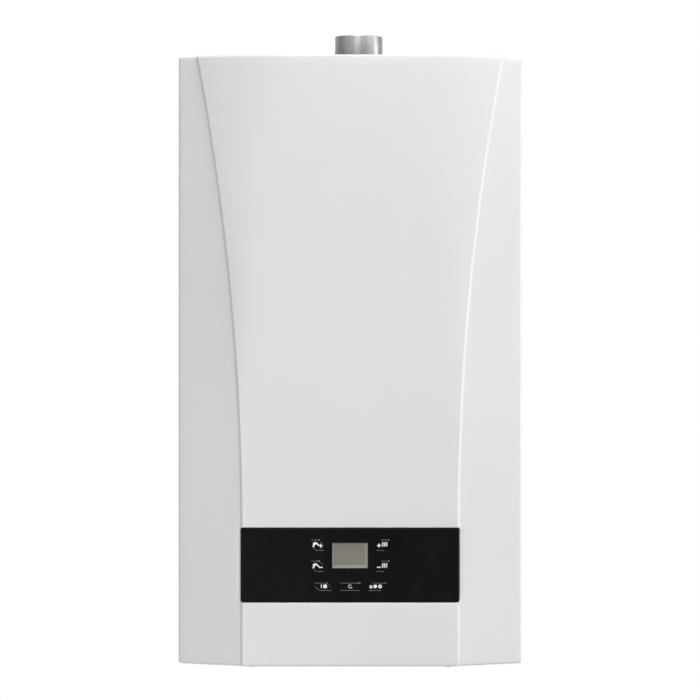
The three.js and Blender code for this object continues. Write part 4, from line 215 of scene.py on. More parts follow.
class PieceTree:
    """A Geometry Nodes tree with named inputs, which makes one plain mesh."""

    def __init__(self, name, **sizes):
        self.tree = bpy.data.node_groups.new(name, "GeometryNodeTree")
        self.name = name
        self.values = {}
        self.entry("Geometry", "NodeSocketGeometry", "OUTPUT")
        self.entry("Places", "NodeSocketGeometry")
        for label, value in sizes.items():
            kind = "NodeSocketInt" if isinstance(value, int) else "NodeSocketFloat"
            self.values[self.entry(label, kind).identifier] = value
        given = self.node("NodeGroupInput").outputs
        self.inputs = {label: Amount(self.tree, given[label]) for label in sizes}
        self.places = given["Places"]

    def entry(self, label, kind, in_out="INPUT"):
        return self.tree.interface.new_socket(label, in_out=in_out, socket_type=kind)

    def node(self, kind, *entries, **inputs):
        return wired(self.tree, kind, *entries, **inputs)

    def vector(self, x=0.0, y=0.0, z=0.0):
        return self.node("ShaderNodeCombineXYZ", x, y, z)

    def baked(self, geometry, places=()):
        """The tree's result as a new object with a plain mesh. Places are what it sets its copies on."""
        self.node("NodeGroupOutput", self.node("GeometryNodeRealizeInstances", geometry))
        piece = shown(self.name, bpy.data.meshes.new(self.name))
        piece.data.from_pydata(places, [], [])
        modifier = piece.modifiers.new("shape", "NODES")
        modifier.node_group = self.tree
        for identifier, value in self.values.items():
            modifier[identifier] = value
        evaluated = piece.evaluated_get(bpy.context.evaluated_depsgraph_get())
        mesh = bpy.data.meshes.new_from_object(evaluated)
        piece.modifiers.clear()
        piece.data = mesh
        return piece


class Finish:
    """A material whose colour, roughness and relief come from noise at the finish's own scale."""

    def __init__(self, name, slot, clouds, grain, metallic=0.0, relief=None, span=(0.3, 0.7), **sockets):
        """Clouds are scale, detail, dark, light. Grain is one roughness, or scale, detail, low, high.

        Relief is the grain's height in millimetres and its strength. The span is where on the clouds'
        noise the dark and the light colour lie, and both noises may end with a stretch.
        """
        self.slot = slot
        self.material = bpy.data.materials.new(name)
        self.material.use_nodes = True
        self.tree = self.material.node_tree
        self.shader = self.tree.nodes["Principled BSDF"]
        self.place = self.node("ShaderNodeTexCoord").outputs["Object"]
        even = {"Metallic": metallic, **sockets}
        if clouds:
            scale, detail, dark, light, *stretch = clouds
            self.colour(self.noise(scale, detail, *stretch), *zip(span, (dark, light)))
        if isinstance(grain, tuple):
            scale, detail, low, high, *stretch = grain
            fine = self.noise(scale, detail, *stretch)
            self.joined("Roughness", self.ranged(fine, low, high))
            if relief:
                self.relief(fine, *relief)
        else:
            even["Roughness"] = grain
        for label, value in even.items():
            self.shader.inputs[label.replace("_", " ")].default_value = value

    def node(self, kind, *entries, **inputs):
        return wired(self.tree, kind, *entries, **inputs)

    def joined(self, label, node):
        self.tree.links.new(node.outputs[0], self.shader.inputs[label])

    def noise(self, scale, detail, stretch=(1, 1, 1)):
        spread = self.node("ShaderNodeMapping", self.place, Scale=stretch)
        return self.node("ShaderNodeTexNoise", Vector=spread, Scale=scale, Detail=detail)

    def ranged(self, value, low, high):
        """The middle of a noise, from 0.3 to 0.7, spread from low to high."""
        return self.node("ShaderNodeMapRange", value, 0.3, 0.7, low, high)

    def ramp(self, value, *stops):
        """Colours along a value, as (position, colour) pairs."""
        node = self.node("ShaderNodeValToRGB", value)
        while len(node.color_ramp.elements) < len(stops):
            node.color_ramp.elements.new(0.5)
        for element, (position, colour) in zip(node.color_ramp.elements, stops):
            element.position = position
            element.color = (*colour, 1)
        return node

    def colour(self, value, *stops):
        self.joined("Base Color", self.ramp(value, *stops))

    def relief(self, value, height, strength):
        bump = self.node("ShaderNodeBump", Strength=strength, Distance=height * MM, Height=value)
        self.joined("Normal", bump)


def grey(level, warmth=0.0):
    """A linear grey, a little warmer or cooler than neutral."""
    return (level * (1 + warmth), level, level * (1 - warmth))


def meshed(name, shape):
    """A new object made of an edited shape."""
    mesh = bpy.data.meshes.new(name)
    shape.to_mesh(mesh)
    shape.free()
    return shown(name, mesh)


def settled(piece, finish, *nodes, body="chassis", edge=0.0, angle=35, even=False):
    """Gives a piece its finish, its shading, its broken edges and the body that it moves with.

    Faces are smooth up to the angle, and an edge breaks, by so many millimetres, what is sharper.
    """
    piece.data.materials.clear()
    piece.data.materials.append(finish.material)
    if angle:
        piece.data.shade_smooth()
        piece.data.set_sharp_from_angle(angle=math.radians(angle))
    if even:
        piece.modifiers.new("even_shading", "WEIGHTED_NORMAL").keep_sharp = True
    if edge:
        bevel = piece.modifiers.new("broken_edges", "BEVEL")
        bevel.width = edge * MM
        bevel.segments = 2
        bevel.limit_method = "ANGLE"
        bevel.angle_limit = math.radians(angle)
        bevel.use_clamp_overlap = False
        bevel.harden_normals = True
    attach(piece, body)
    if nodes:
        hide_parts(*nodes)


# Powder coat: the fine waviness of sprayed enamel, hardly any variation of its white.
enamel = Finish("white_enamel", "enamel", (5, 3, grey(0.775, 0.002), grey(0.8, 0.002)),
                (420, 2, 0.28, 0.36), relief=(0.03, 0.12), Specular_IOR_Level=0.42)


def casing_skin():
    """The pressed sheet's outer face, as a grid from the rear edge on the left to that on the right."""
    spans = {"side": 2, "bend": 6, "wing": 10, "step": 9, "corner": 1, "field": 22}
    rises = {"flange": 2, "bend": 6, "skirt": 8, "low_corner": 1, "beside": 10, "high_corner": 1,
             "front": 54, "top_bend": 6, "top_flange": 2}
    columns = 2 * sum(spans.values()) + 1
    rows = sum(rises.values()) + 1
    tree = PieceTree("casing", Half_Width=CASING_HALF, Height=CASING_HEIGHT, Depth=CASING_DEPTH,
                     Side_Depth=SIDE_DEPTH, Field_Half=FIELD_HALF, Flare_Start=FLARE_START,
                     Flare_Radius=FLARE_RADIUS, Crease_Step=CREASE_STEP, Crease_Spread=CREASE_SPREAD,
                     Bend=CASING_BEND, Flange=FLANGE_DEPTH, Columns=columns, Rows=rows)
    size = tree.inputs
    grid = tree.node("GeometryNodeMeshGrid", Size_X=2.0, Size_Y=1.0,
                     Vertices_X=size["Columns"], Vertices_Y=size["Rows"])
    place = tree.node("ShaderNodeSeparateXYZ", tree.node("GeometryNodeInputPosition")).outputs
    across = Amount(tree.tree, place["X"])
    up = Amount(tree.tree, place["Y"]) + 0.5

    def shares(amount, counts):
        """The part of each stretch that lies behind the amount, for stretches of so many cells."""
        total = sum(counts.values())
        passed = 0
        result = {}
        for label, cells in counts.items():
            result[label] = amount.share(passed / total, (passed + cells) / total)
            passed += cells
        return result

    rise = shares(up, rises)
    run = shares(-across.math("ABSOLUTE") + 1, spans)
    bend, half, depth = size["Bend"], size["Half_Width"], size["Depth"]

    fold = rise["bend"] * (math.pi / 2)
    top_fold = rise["top_bend"] * (math.pi / 2)
    skirt = -bend + OPENING_LOW
    beside = OPENING_HIGH - OPENING_LOW - 2 * OPENING_CORNER
    front = size["Height"] - bend - OPENING_HIGH
    height = (bend * (-fold.math("COSINE") + 1) + skirt * rise["skirt"]
              + (rise["low_corner"] + rise["high_corner"]) * OPENING_CORNER + rise["beside"] * beside
              + front * rise["front"] + bend * top_fold.math("SINE"))
    inset = ((size["Flange"] - bend) * (-rise["flange"] + 1 + rise["top_flange"])
             + bend * (-fold.math("SINE") + 1) + bend * (-top_fold.math("COSINE") + 1))

    above = (height - size["Flare_Start"]).at_least(0)
    radius = size["Flare_Radius"]
    field_half = size["Field_Half"] + radius - (radius * radius - above * above).math("SQRT")
    slope = ((depth - size["Side_Depth"] - size["Crease_Step"])
             / (half - size["Field_Half"] - size["Crease_Spread"]))
    wing = half - bend - field_half - size["Crease_Spread"]
    crown = size["Side_Depth"] + slope * (wing + bend) + size["Crease_Step"]
    drop = (depth - crown).at_least(0)
    roll = (drop * (2 / ROLL_SLOPE)).at_least(2 * FIELD_HALF / 12)

    turn = run["bend"]
    step = run["step"]
    field_run = OPENING_CORNER - CREASE_SPREAD
    inner = field_half - run["corner"] * field_run - (field_half - field_run) * run["field"]
    x = (half - bend * turn * turn - wing * run["wing"] - size["Crease_Spread"] * step
         - (field_half - inner))
    rolled = (field_half - inner).share(0.0, roll)
    ahead = (WALL_GAP + (size["Side_Depth"] - bend - WALL_GAP) * run["side"]
             + bend * (-((-turn + 1) * (-turn + 1)) + 1) + slope * bend * turn * turn
             + slope * wing * run["wing"]
             + size["Crease_Step"] * step * step * (step * step * step * step * -0.5 + 1.5)
             + drop * (-((-rolled + 1) * (-rolled + 1)) + 1))
    side = across.math("SIGN")
    near_crease = (x - field_half - size["Crease_Spread"]) / EAR_SPREAD
    ear = ((-(near_crease * near_crease)).math("EXPONENT") * rise["top_bend"]
           * (-rise["top_flange"] + 1) * EAR_RISE)
    placed = tree.node(
        "GeometryNodeSetPosition", grid,
        Position=tree.vector(x * side * (-(inset / half) + 1),
                             -(ahead - WALL_GAP) * (-(inset / (depth - WALL_GAP)) + 1) - WALL_GAP,
                             height + ear + BASE))
    return tree.baked(placed)


def opened(casing):
    """Takes the opening out of the skin and rolls its edge inwards, with rounded corners."""
    low, high = BASE + OPENING_LOW, BASE + OPENING_HIGH
    middle = (low + high) / 2
    hair = 0.02 * MM
    shape = bmesh.new()
    shape.from_mesh(casing.data)

    def within(point, slack):
        return (point.y < -SIDE_DEPTH and abs(point.x) < OPENING_HALF + slack
                and low - slack < point.z < high + slack)

    def border():
        return [edge for edge in shape.edges
                if edge.is_boundary and all(within(v.co, hair) for v in edge.verts)]

    inside = [face for face in shape.faces if within(face.calc_center_median(), -hair)]
    bmesh.ops.delete(shape, geom=inside, context="FACES")
    rim = {v for edge in border() for v in edge.verts}
    for side in (-1, 1):
        for top in (-1, 1):
            edge_z = high if top > 0 else low
            centre = (side * (OPENING_HALF - OPENING_CORNER), edge_z - top * OPENING_CORNER)
            patch = [v for v in rim
                     if (v.co.x - centre[0]) * side > -hair and (v.co.z - centre[1]) * top > -hair]
            tip = max(patch, key=lambda v: v.co.x * side + v.co.z * top)
            start = next(v for v in patch if abs(v.co.z - centre[1]) < hair)
            along = sorted((v for v in patch if abs(v.co.z - edge_z) < hair and v is not tip),
                           key=lambda v: v.co.x * side)
            steps = 6
            arc = []
            for i in range(1, steps):
                angle = math.pi / 2 * i / steps
                arc.append(shape.verts.new((
                    centre[0] + side * OPENING_CORNER * math.cos(angle),
                    start.co.y + (along[0].co.y - start.co.y) * i / steps,
                    centre[1] + top * OPENING_CORNER * math.sin(angle))))
            fan = [start, *arc, *along]
            for a, b in zip(fan, fan[1:]):
                shape.faces.new((tip, a, b) if side * top > 0 else (tip, b, a))

    # The roll: each ring is drawn in from the opening's edge and back from the face.
    ring = border()
    edge_places = {v: v.co.copy() for edge in ring for v in edge.verts}
    for angle, back in ((22.5, 0), (45, 0), (67.5, 0), (90, 0), (90, 1.5 * MM), (90, 6.5 * MM)):
        made = bmesh.ops.extrude_edge_only(shape, edges=ring)["geom"]
        ring = [item for item in made if isinstance(item, bmesh.types.BMEdge)]
        turned_places = {}
        for v in (item for item in made if isinstance(item, bmesh.types.BMVert)):
            others = (edge.other_vert(v) for edge in v.link_edges)
            turned_places[v] = edge_places[next(other for other in others if other in edge_places)]
        for v, source in turned_places.items():
            reach_x = max(0.0, abs(source.x) - (OPENING_HALF - OPENING_CORNER))
            reach_z = max(0.0, abs(source.z - middle) - ((high - low) / 2 - OPENING_CORNER))
            pull = ROLL_RADIUS * math.sin(math.radians(angle)) / math.hypot(reach_x, reach_z)
            v.co = source + Vector((
                -math.copysign(pull * reach_x, source.x),
                ROLL_RADIUS * (1 - math.cos(math.radians(angle))) + back,
                -math.copysign(pull * reach_z, source.z - middle)))
        edge_places = turned_places
    bmesh.ops.recalc_face_normals(shape, faces=shape.faces)
    shape.to_mesh(casing.data)
    shape.free()


casing = casing_skin()
opened(casing)
sheet = casing.modifiers.new("sheet", "SOLIDIFY")
sheet.thickness = CASING_SHEET
sheet.offset = -1
settled(casing, enamel, "casing_shell", body="casing", angle=50)

# ---------------------------------------------------------------- fascia
# A moulding of glossy black plastic behind the casing's opening, with a rounded rim, a window for the
# display and a shaped hole for each key. It is the front of the control box, which folds down.

FASCIA_WALL = 2.5 * MM
FASCIA_RIM = 1.3 * MM
FASCIA_CORNER = 2 * MM
FASCIA_FACE = -fascia_low.y
FASCIA_BACK = -fascia_high.y
WINDOW_HALF = 41.3 / 2 * MM
WINDOW_LOW = BASE + (127.7 - 29.6 / 2) * MM
WINDOW_HIGH = BASE + (127.7 + 29.6 / 2) * MM
KEY_GAP = 0.3 * MM
KEY_CORNER = 5.9 * MM
KEYS = {
    "key_hot_water_up": (-37.3, 139.7, 15.5, 12.9, 1),
    "key_hot_water_down": (-37.3, 115.4, 15.5, 12.9, 1),
    "key_heating_up": (37.3, 139.7, 15.5, 12.9, -1),
    "key_heating_down": (37.3, 115.4, 15.5, 12.9, -1),
    "key_power": (-31, 91.9, 20.8, 9.4, 1),
    "key_reset": (0, 91.9, 23.1, 9.3, 0),
    "key_mode": (31, 91.9, 20.8, 9.4, -1),
}


def soft_box(left, low, right, high, radius, steps=5):
    """A rectangle with round corners, anticlockwise seen from the front, as (x, z) pairs."""
    outline = []
    for cx, cz, start in ((right - radius, low + radius, -90), (right - radius, high - radius, 0),
                          (left + radius, high - radius, 90), (left + radius, low + radius, 180)):
        for i in range(steps + 1):
            angle = math.radians(start + 90 * i / steps)
            outline.append((cx + radius * math.cos(angle), cz + radius * math.sin(angle)))
    return outline


def grown(outline, reach):
    """A convex outline moved outwards, or inwards for a negative reach."""
    result = []
    for before, here, after in zip(outline[-1:] + outline[:-1], outline, outline[1:] + outline[:1]):
        first = (Vector(here) - Vector(before)).normalized()
        second = (Vector(after) - Vector(here)).normalized()
        out = Vector((first.y + second.y, -first.x - second.x))
        result.append(tuple(Vector(here) + out * (2 * reach / out.length_squared)))
    return result


def key_outline(name):
    """A key's outline: a rectangle that has two opposite corners cut, or none."""
    x, z, width, height, lean = (value * MM for value in KEYS[name])
    w, h = width / 2, height / 2
    cut = min(KEY_CORNER, 0.62 * height)
    if lean == 0:
        corners = [(-w, -h), (w, -h), (w, h), (-w, h)]
    else:
        corners = [(-w + cut, -h), (w, -h), (w, h - cut), (w - cut, h), (-w, h), (-w, -h + cut)]
        if lean < 0:
            corners = [(-a, b) for a, b in reversed(corners)]
    return [(x + a, BASE + z + b) for a, b in corners]


class Moulding:
    """A solid built of rings, each an outline at a depth in front of the wall."""

    def __init__(self, name):
        self.name = name
        self.shape = bmesh.new()

    def ring(self, outline, depth):
        return [self.shape.verts.new((x, -depth, z)) for x, z in outline]

    def wall(self, *rings):
        for front, back in zip(rings, rings[1:]):
            for i, start in enumerate(front):
                after = (i + 1) % len(front)
                self.shape.faces.new((start, back[i], back[after], front[after]))
        return rings[-1]

    def sheet(self, outer, *holes):
        """A flat face between an outer ring and the rings of its holes."""
        rings = [outer, *holes]
        corners = [v for ring in rings for v in ring]
        flat = [[Vector((v.co.x, v.co.z, 0)) for v in ring] for ring in rings]
        for triangle in tessellate_polygon(flat):
            if len({corners[i] for i in triangle}) == 3:
                self.shape.faces.new([corners[i] for i in triangle])

    def rounded_edge(self, outline, depth, radius, steps=5, outward=-1):
        """Rings round an outline's edge, from the flat face at its depth to the side wall."""
        return [self.ring(grown(outline, outward * radius * (1 - math.sin(math.pi / 2 * i / steps))),
                          depth - radius * (1 - math.cos(math.pi / 2 * i / steps)))
                for i in range(steps + 1)]

    def fitted(self, finish, *nodes, **ways):
        """The finished piece, as settled() makes it."""
        bmesh.ops.recalc_face_normals(self.shape, faces=self.shape.faces)
        settled(meshed(self.name, self.shape), finish, *nodes, **ways)


gloss = Finish("black_gloss_plastic", "black_gloss", (9, 2, grey(0.0022), (0.0048, 0.0032, 0.0036)),
               (60, 3, 0.2, 0.3), span=(0.35, 0.7), Specular_IOR_Level=0.06)

front_outline = soft_box(-fascia_high.x, fascia_low.z, fascia_high.x, fascia_high.z, FASCIA_CORNER)
fascia = Moulding("fascia_moulding")
rim = fascia.rounded_edge(front_outline, FASCIA_FACE, FASCIA_RIM)
outer_back = fascia.wall(*rim, fascia.ring(front_outline, FASCIA_BACK))
inner = grown(front_outline, -FASCIA_WALL + 0.6 * MM)
inner_back = fascia.ring(inner, FASCIA_BACK)
floor_ring = fascia.wall(inner_back, fascia.ring(inner, FASCIA_FACE - FASCIA_WALL))
fascia.wall(outer_back, inner_back)
holes = [soft_box(-WINDOW_HALF, WINDOW_LOW, WINDOW_HALF, WINDOW_HIGH, 0.6 * MM, 3)]
holes += [grown(key_outline(name), KEY_GAP) for name in KEYS]
front_holes, back_holes = [], []
for hole in holes:
    edges = fascia.rounded_edge(hole, FASCIA_FACE, 0.25 * MM, 2, 1)
    front_holes.append(edges[0])
    back_holes.append(fascia.wall(*edges, fascia.ring(hole, FASCIA_FACE - FASCIA_WALL)))
fascia.sheet(rim[0], *front_holes)
fascia.sheet(floor_ring, *back_holes)
fascia.fitted(gloss, "fascia", body="control_box", even=True)

# ---------------------------------------------------------------- keys
# Seven keys of the same plastic, flush with the fascia. Each has a thin printed outline that stops at
# its cut corners and a white mark: a tap or a radiator with plus or minus, power, reset and mode.

KEY_FACE = FASCIA_FACE - 0.2 * MM
KEY_COLLAR = 1 * MM
COLLAR_FRONT = FASCIA_FACE - FASCIA_WALL - 0.3 * MM
PRINT_RISE = 0.04 * MM
LINE = 0.55 * MM

ink = Finish("key_print", "black_gloss", (900, 2, grey(0.86), grey(0.93)), 0.5)
faint_ink = Finish("key_outline_print", "black_gloss", (700, 2, grey(0.1), grey(0.17)), 0.5)


def stroke(a, b, width):
    """A straight bar between two places, as one outline."""
    along = (Vector(b) - Vector(a)).normalized() * (width / 2)
    side = Vector((-along.y, along.x))
    a, b = Vector(a) - along * 0.3, Vector(b) + along * 0.3
    return [tuple(a - side), tuple(b - side), tuple(b + side), tuple(a + side)]


def disc(centre, radius, hole=0.0, sides=20, corner=0):
    """A disc, or a ring as the outlines of its segments."""
    def point(r, i):
        angle = math.tau * i / sides + corner
        return (centre[0] + r * math.cos(angle), centre[1] + r * math.sin(angle))

    if not hole:
        return [[point(radius, i) for i in range(sides)]]
    return [[point(hole, i), point(radius, i), point(radius, i + 1), point(hole, i + 1)]
            for i in range(sides)]


def sign(centre, reach, width, plus=True):
    """A plus or a minus, as one outline."""
    half = width / 2
    if plus:
        corner = [(reach, -half), (reach, half), (half, half)]
        turns = ((1, 0), (0, 1), (-1, 0), (0, -1))
        outline = [(a * c - b * d, a * d + b * c) for c, d in turns for a, b in corner]
    else:
        outline = [(-reach, -half), (reach, -half), (reach, half), (-reach, half)]
    return [[(centre[0] + a, centre[1] + b) for a, b in outline]]


def tap_mark(plus):
    """A tap seen from the side: its body and handle, and a spout that slopes down to the sign."""
    body = [[(-5.7, -2.2), (-4.3, -2.3), (-2.7, 0.4), (-2.4, 3.8), (-5.2, 2.6)],
            [(-2.9, 0.6), (-1.2, 1.3), (-0.3, 2.6), (-2.0, 3.9)],
            [(-1.4, 1.2), (1.8, -1.4), (2.6, -0.2), (-0.4, 2.7)]]
    return body + sign((3.6, -0.6) if plus else (3.7, -1.2), 2.2, 1.3, plus)


def radiator_mark(plus):
    """Three radiator columns between two rails, with the sign at their left."""
    columns = [stroke((x, -1.4), (x + 0.3, 3.4), 1.6) for x in (0, 2.3, 4.6)]
    rails = [stroke((-0.8, -0.9), (5.4, -0.9), 1), stroke((-0.4, 2.9), (5.7, 2.9), 1)]
    return columns + rails + sign((-4, -0.4) if plus else (-4.2, -1.1), 2.1, 1.3, plus)


def reset_mark():
    """An arrow bent into most of a circle."""
    turns = [math.radians(40 + 290 * i / 16) for i in range(17)]
    path = [(1.75 * math.cos(a), 0.4 + 1.75 * math.sin(a)) for a in turns]
    return [stroke(a, b, 0.8) for a, b in zip(path, path[1:])] + [[(2.9, -1.1), (0.9, -2.0), (1.1, 0.3)]]


MARKS = {
    "key_hot_water_up": tap_mark(True),
    "key_hot_water_down": tap_mark(False),
    "key_heating_up": radiator_mark(True),
    "key_heating_down": radiator_mark(False),
    "key_power": [stroke((-1.9, -1.4), (-1.9, 2.4), 1.1)] + disc((2.4, 0.5), 2.3),
    "key_reset": reset_mark(),
    "key_mode": disc((-6.9, -0.1), 2.2, 0.8, 4) + disc((-2, 0.4), 2.1) + disc((3.6, 0.4), 2.2, 0.7),
}


def printed(name, outlines, centre, finish, body):
    """Flat print on a key's face."""
    shape = bmesh.new()
    for outline in outlines:
        places = [(centre[0] + a * MM, -KEY_FACE - PRINT_RISE, centre[1] + b * MM) for a, b in outline]
        face = shape.faces.new([shape.verts.new(place) for place in places])
        face.normal_update()
        if face.normal.y > 0:
            face.normal_flip()
    settled(meshed(name, shape), finish, body=body, angle=0)


for name, (x, z, width, height, lean) in KEYS.items():
    body = "body_" + name
    centre = (x * MM, BASE + z * MM)
    outline = key_outline(name)
    collar = grown(outline, KEY_COLLAR)
    (stem,) = disc(centre, 2 * MM, sides=12)
    key = Moulding(name + "_cap")
    edges = key.rounded_edge(outline, KEY_FACE, 0.3 * MM, 3)
    key.sheet(edges[0])
    step = key.wall(*edges, key.ring(outline, COLLAR_FRONT), key.ring(collar, COLLAR_FRONT),
                    key.ring(collar, COLLAR_FRONT - KEY_COLLAR))
    foot = key.ring(stem, COLLAR_FRONT - KEY_COLLAR)
    key.sheet(step, foot)
    key.sheet(key.wall(foot, key.ring(stem, -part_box(name)[1].y)))
    key.fitted(gloss, name, body=body, even=True)

    w, h = width / 2 - 0.5, height / 2 - 0.45
    cut = min(KEY_CORNER / MM, 0.62 * height) - 0.4
    mirror = lean or 1
    lines = [stroke((-w * mirror, h), ((w - cut * abs(lean)) * mirror, h), LINE / MM),
             stroke(((-w + cut * abs(lean)) * mirror, -h), (w * mirror, -h), LINE / MM)]
    if lean > 0:
        lines += [stroke((-w + 0.5, -h + cut - 0.5), (-w + cut, -h), 0.45),
                  stroke((w - cut, h), (w - 0.4, h - cut + 0.4), 0.3)]
    printed(name + "_outline", lines, centre, faint_ink, body)
    dot = (w - cut * (lean > 0) - 0.2, h)
    printed(name + "_mark", MARKS[name] + disc(dot, 0.6, sides=8), centre, ink, body)

# ---------------------------------------------------------------- display
# A liquid crystal panel in the window, unlit: a grey-green glass face inside a sloping frame of pale
# plastic, its module clipped behind the fascia.

display_low, display_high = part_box("display_module")
PANEL_FACE = FASCIA_FACE - 2.6 * MM
FRAME_FACE = FASCIA_FACE - 1.1 * MM
FRAME_LEFT = 2 * MM
FRAME_RIGHT = 3.1 * MM
FRAME_FOOT = 3.7 * MM
FRAME_HEAD = 0.6 * MM
PANEL_EDGE = 0.3 * MM
MODULE_DEPTH = 7 * MM

panel_glass = Finish("display_panel", "display", (35, 3, (0.178, 0.17, 0.12), (0.212, 0.196, 0.157)), 0.22,
                     Coat_Weight=0.2)
frame_plastic = Finish("display_frame", "display", (300, 3, (0.24, 0.235, 0.23), (0.29, 0.285, 0.28)), 0.45)

display = Moulding("display_frame")
window_corners = (PANEL_EDGE - WINDOW_HALF, WINDOW_LOW + PANEL_EDGE,
                  WINDOW_HALF - PANEL_EDGE, WINDOW_HIGH - PANEL_EDGE)
window = soft_box(*window_corners, 0.5 * MM, 3)
borders = (FRAME_LEFT, FRAME_FOOT, -FRAME_RIGHT, -FRAME_HEAD)
sill = soft_box(*(corner + border for corner, border in zip(window_corners, borders)), 0.4 * MM, 3)
module_edge = soft_box(display_low.x, display_low.z, display_high.x, display_high.z, 0.5 * MM, 3)
frame_rings = [display.ring(sill, PANEL_FACE), display.ring(grown(window, -0.3 * MM), FRAME_FACE - 0.05 * MM),
               *display.rounded_edge(window, FRAME_FACE, 0.2 * MM, 2)[1:], display.ring(window, COLLAR_FRONT),
               display.ring(module_edge, COLLAR_FRONT), display.ring(module_edge,
                                                                     COLLAR_FRONT - MODULE_DEPTH)]
display.wall(*frame_rings)
display.sheet(frame_rings[-1])
display.sheet(frame_rings[0])
display.fitted(frame_plastic, "display_module", body="control_box", even=True)

panel = Moulding("display_panel")
panel_outline = grown(sill, 0.1 * MM)
panel_front = panel.ring(panel_outline, PANEL_FACE + 0.3 * MM)
panel.sheet(panel_front)
panel.sheet(panel.wall(panel_front, panel.ring(panel_outline, PANEL_FACE + 0.02 * MM)))
panel.fitted(panel_glass, body="control_box", even=True)

# ---------------------------------------------------------------- casing screws
# Two low round-headed steel screws that go up through the casing's bottom flange into the tray's ears.
# Each is turned, with a small hole in the middle of its head, and holds the casing at its foot.

UP, DOWN = (0, 0, 1), (0, 0, -1)
AHEAD, BACK = (0, -1, 0), (0, 1, 0)
RIGHT = (1, 0, 0)


class Fitting(Moulding):
    """A piece of turned, bent and pulled shapes, in millimetres: across, ahead of the wall, up."""

    def spot(self, across, ahead, up):
        return Vector((across * MM, -ahead * MM, BASE + up * MM))

    def around(self, centre, axis, side, angles, reaches):
        """Corners round a centre, square to the axis, with a reach in millimetres for each angle."""
        turn = axis.cross(side)
        return [self.shape.verts.new(centre + (side * math.cos(a) + turn * math.sin(a)) * (reach * MM))
                for a, reach in zip(angles, reaches)]

    def loop(self, base, way, distance, angles, reaches):
        """Corners round the axis that starts at the base, at a distance along it."""
        axis = Vector(way)
        side = Vector(UP if abs(axis.z) < 0.5 else BACK)
        return self.around(self.spot(*base) + axis * (distance * MM), axis, side, angles, reaches)

    def turned(self, base, way, profile, sides=32, ring=False):
        """A profile of (radius, distance) pairs turned about an axis. A ring's profile closes on itself."""
        angles = [math.tau * (i + 0.5) / sides for i in range(sides)]
        loops = [self.loop(base, way, distance, angles if radius else angles[:1], [radius] * sides)
                 for radius, distance in profile]
        self.lofted(loops + loops[:1] if ring else loops)
        return self

    def lofted(self, loops):
        """Joins loops of corners, or single points, and closes the open ends."""
        for near, far in zip(loops, loops[1:]):
            count = max(len(near), len(far))
            for i in range(count):
                after = (i + 1) % count
                if len(near) == 1:
                    self.shape.faces.new((near[0], far[i], far[after]))
                elif len(far) == 1:
                    self.shape.faces.new((near[i], far[0], near[after]))
                else:
                    self.shape.faces.new((near[i], far[i], far[after], near[after]))
        if loops[0] is not loops[-1]:
            for end in (loops[0], loops[-1]):
                if len(end) > 2:
                    self.shape.faces.new(end)

    def pipe(self, route, radius, bend, sides=20, steps=7):
        """A round pipe along straight runs, which turns each corner on a bend radius."""
        corners = [self.spot(*corner) for corner in route]
        path = [(corners[0], (corners[1] - corners[0]).normalized())]
        for before, here, after in zip(corners, corners[1:], corners[2:]):
            first, second = (here - before).normalized(), (after - here).normalized()
            angle = first.angle(second)
            reach = bend * MM * math.tan(angle / 2)
            centre = here + (second - first).normalized() * (bend * MM / math.cos(angle / 2))
            axis = first.cross(second).normalized()
            for i in range(steps + 1):
                turn = Matrix.Rotation(angle * i / steps, 3, axis)
                path.append((centre + turn @ (here - first * reach - centre), turn @ first))
        path.append((corners[-1], (corners[-1] - corners[-2]).normalized()))
        side = path[0][1].orthogonal().normalized()
        angles = [math.tau * i / sides for i in range(sides)]
        loops = []
        for place, way in path:
            side = (side - way * side.dot(way)).normalized()
            loops.append(self.around(place, way, side, angles, [radius] * sides))
        self.lofted(loops)
        return self

    def pulled(self, outline, start, length, way="ahead"):
        """An outline pulled ahead from a depth, or up from a height, or across from the left."""
        places = {"ahead": lambda a, b, c: (a, c, b), "up": lambda a, b, c: (a, b, c),
                  "across": lambda a, b, c: (c, a, b)}[way]
        self.lofted([[self.shape.verts.new(self.spot(*places(a, b, level))) for a, b in outline]
                     for level in (start, start + length)])
        return self

    def block(self, low, high):
        (left, back, bottom), (right, front, top) = low, high
        return self.pulled([(left, bottom), (right, bottom), (right, top), (left, top)], back, front - back)


zinc_steel = Finish("zinc_plated_steel", "steel", (300, 4, (0.5, 0.52, 0.55), (0.64, 0.65, 0.67)),
                    (900, 3, 0.28, 0.42), metallic=1.0)

for node in ("casing_screw_left", "casing_screw_right"):
    low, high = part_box(node)
    head = (low.z - BASE) / MM
    length = (high.z - BASE) / MM - head
    turns = int((length - 3) / 0.35)
    Fitting(node + "_turned").turned(((low.x + high.x) / 2 / MM, -(low.y + high.y) / 2 / MM, head), UP, [
        (0, 0.8), (0.5, 0.8), (0.5, 0), (2.2, 0.1), (3.3, 0.5), (3.9, 1.1), (4, 1.5), (3.9, 1.7), (2, 1.7),
        (2, 2.2),
        *((2 - 0.35 * (i % 2), 2.2 + 0.35 * i) for i in range(turns)),
        (1.2, length), (0, length)], 28).fitted(zinc_steel, node)

# ---------------------------------------------------------------- control box
# A grey moulded box behind the fascia, closed at the back by a slotted lid. It hangs on two round pins
# under its lower edge and carries the main board on four posts.

grey_moulding = Finish("grey_moulding", "grey_plastic", (60, 3, grey(0.15), grey(0.175)),
                       (1600, 2, 0.44, 0.58), relief=(0.05, 0.2))


def bevelled(node, finish, edge, body="chassis"):
    """A CAD node's own shape, merged and with its edges broken."""
    shape = bmesh.new()
    shape.from_mesh(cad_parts[node].data)
    bmesh.ops.remove_doubles(shape, verts=shape.verts, dist=0.01 * MM)
    settled(meshed(node + "_finished", shape), finish, node, body=body, edge=edge, angle=30)


bevelled("control_box_shell", grey_moulding, 0.5, "control_box")
bevelled("control_box_cover", grey_moulding, 0.5, "control_box")

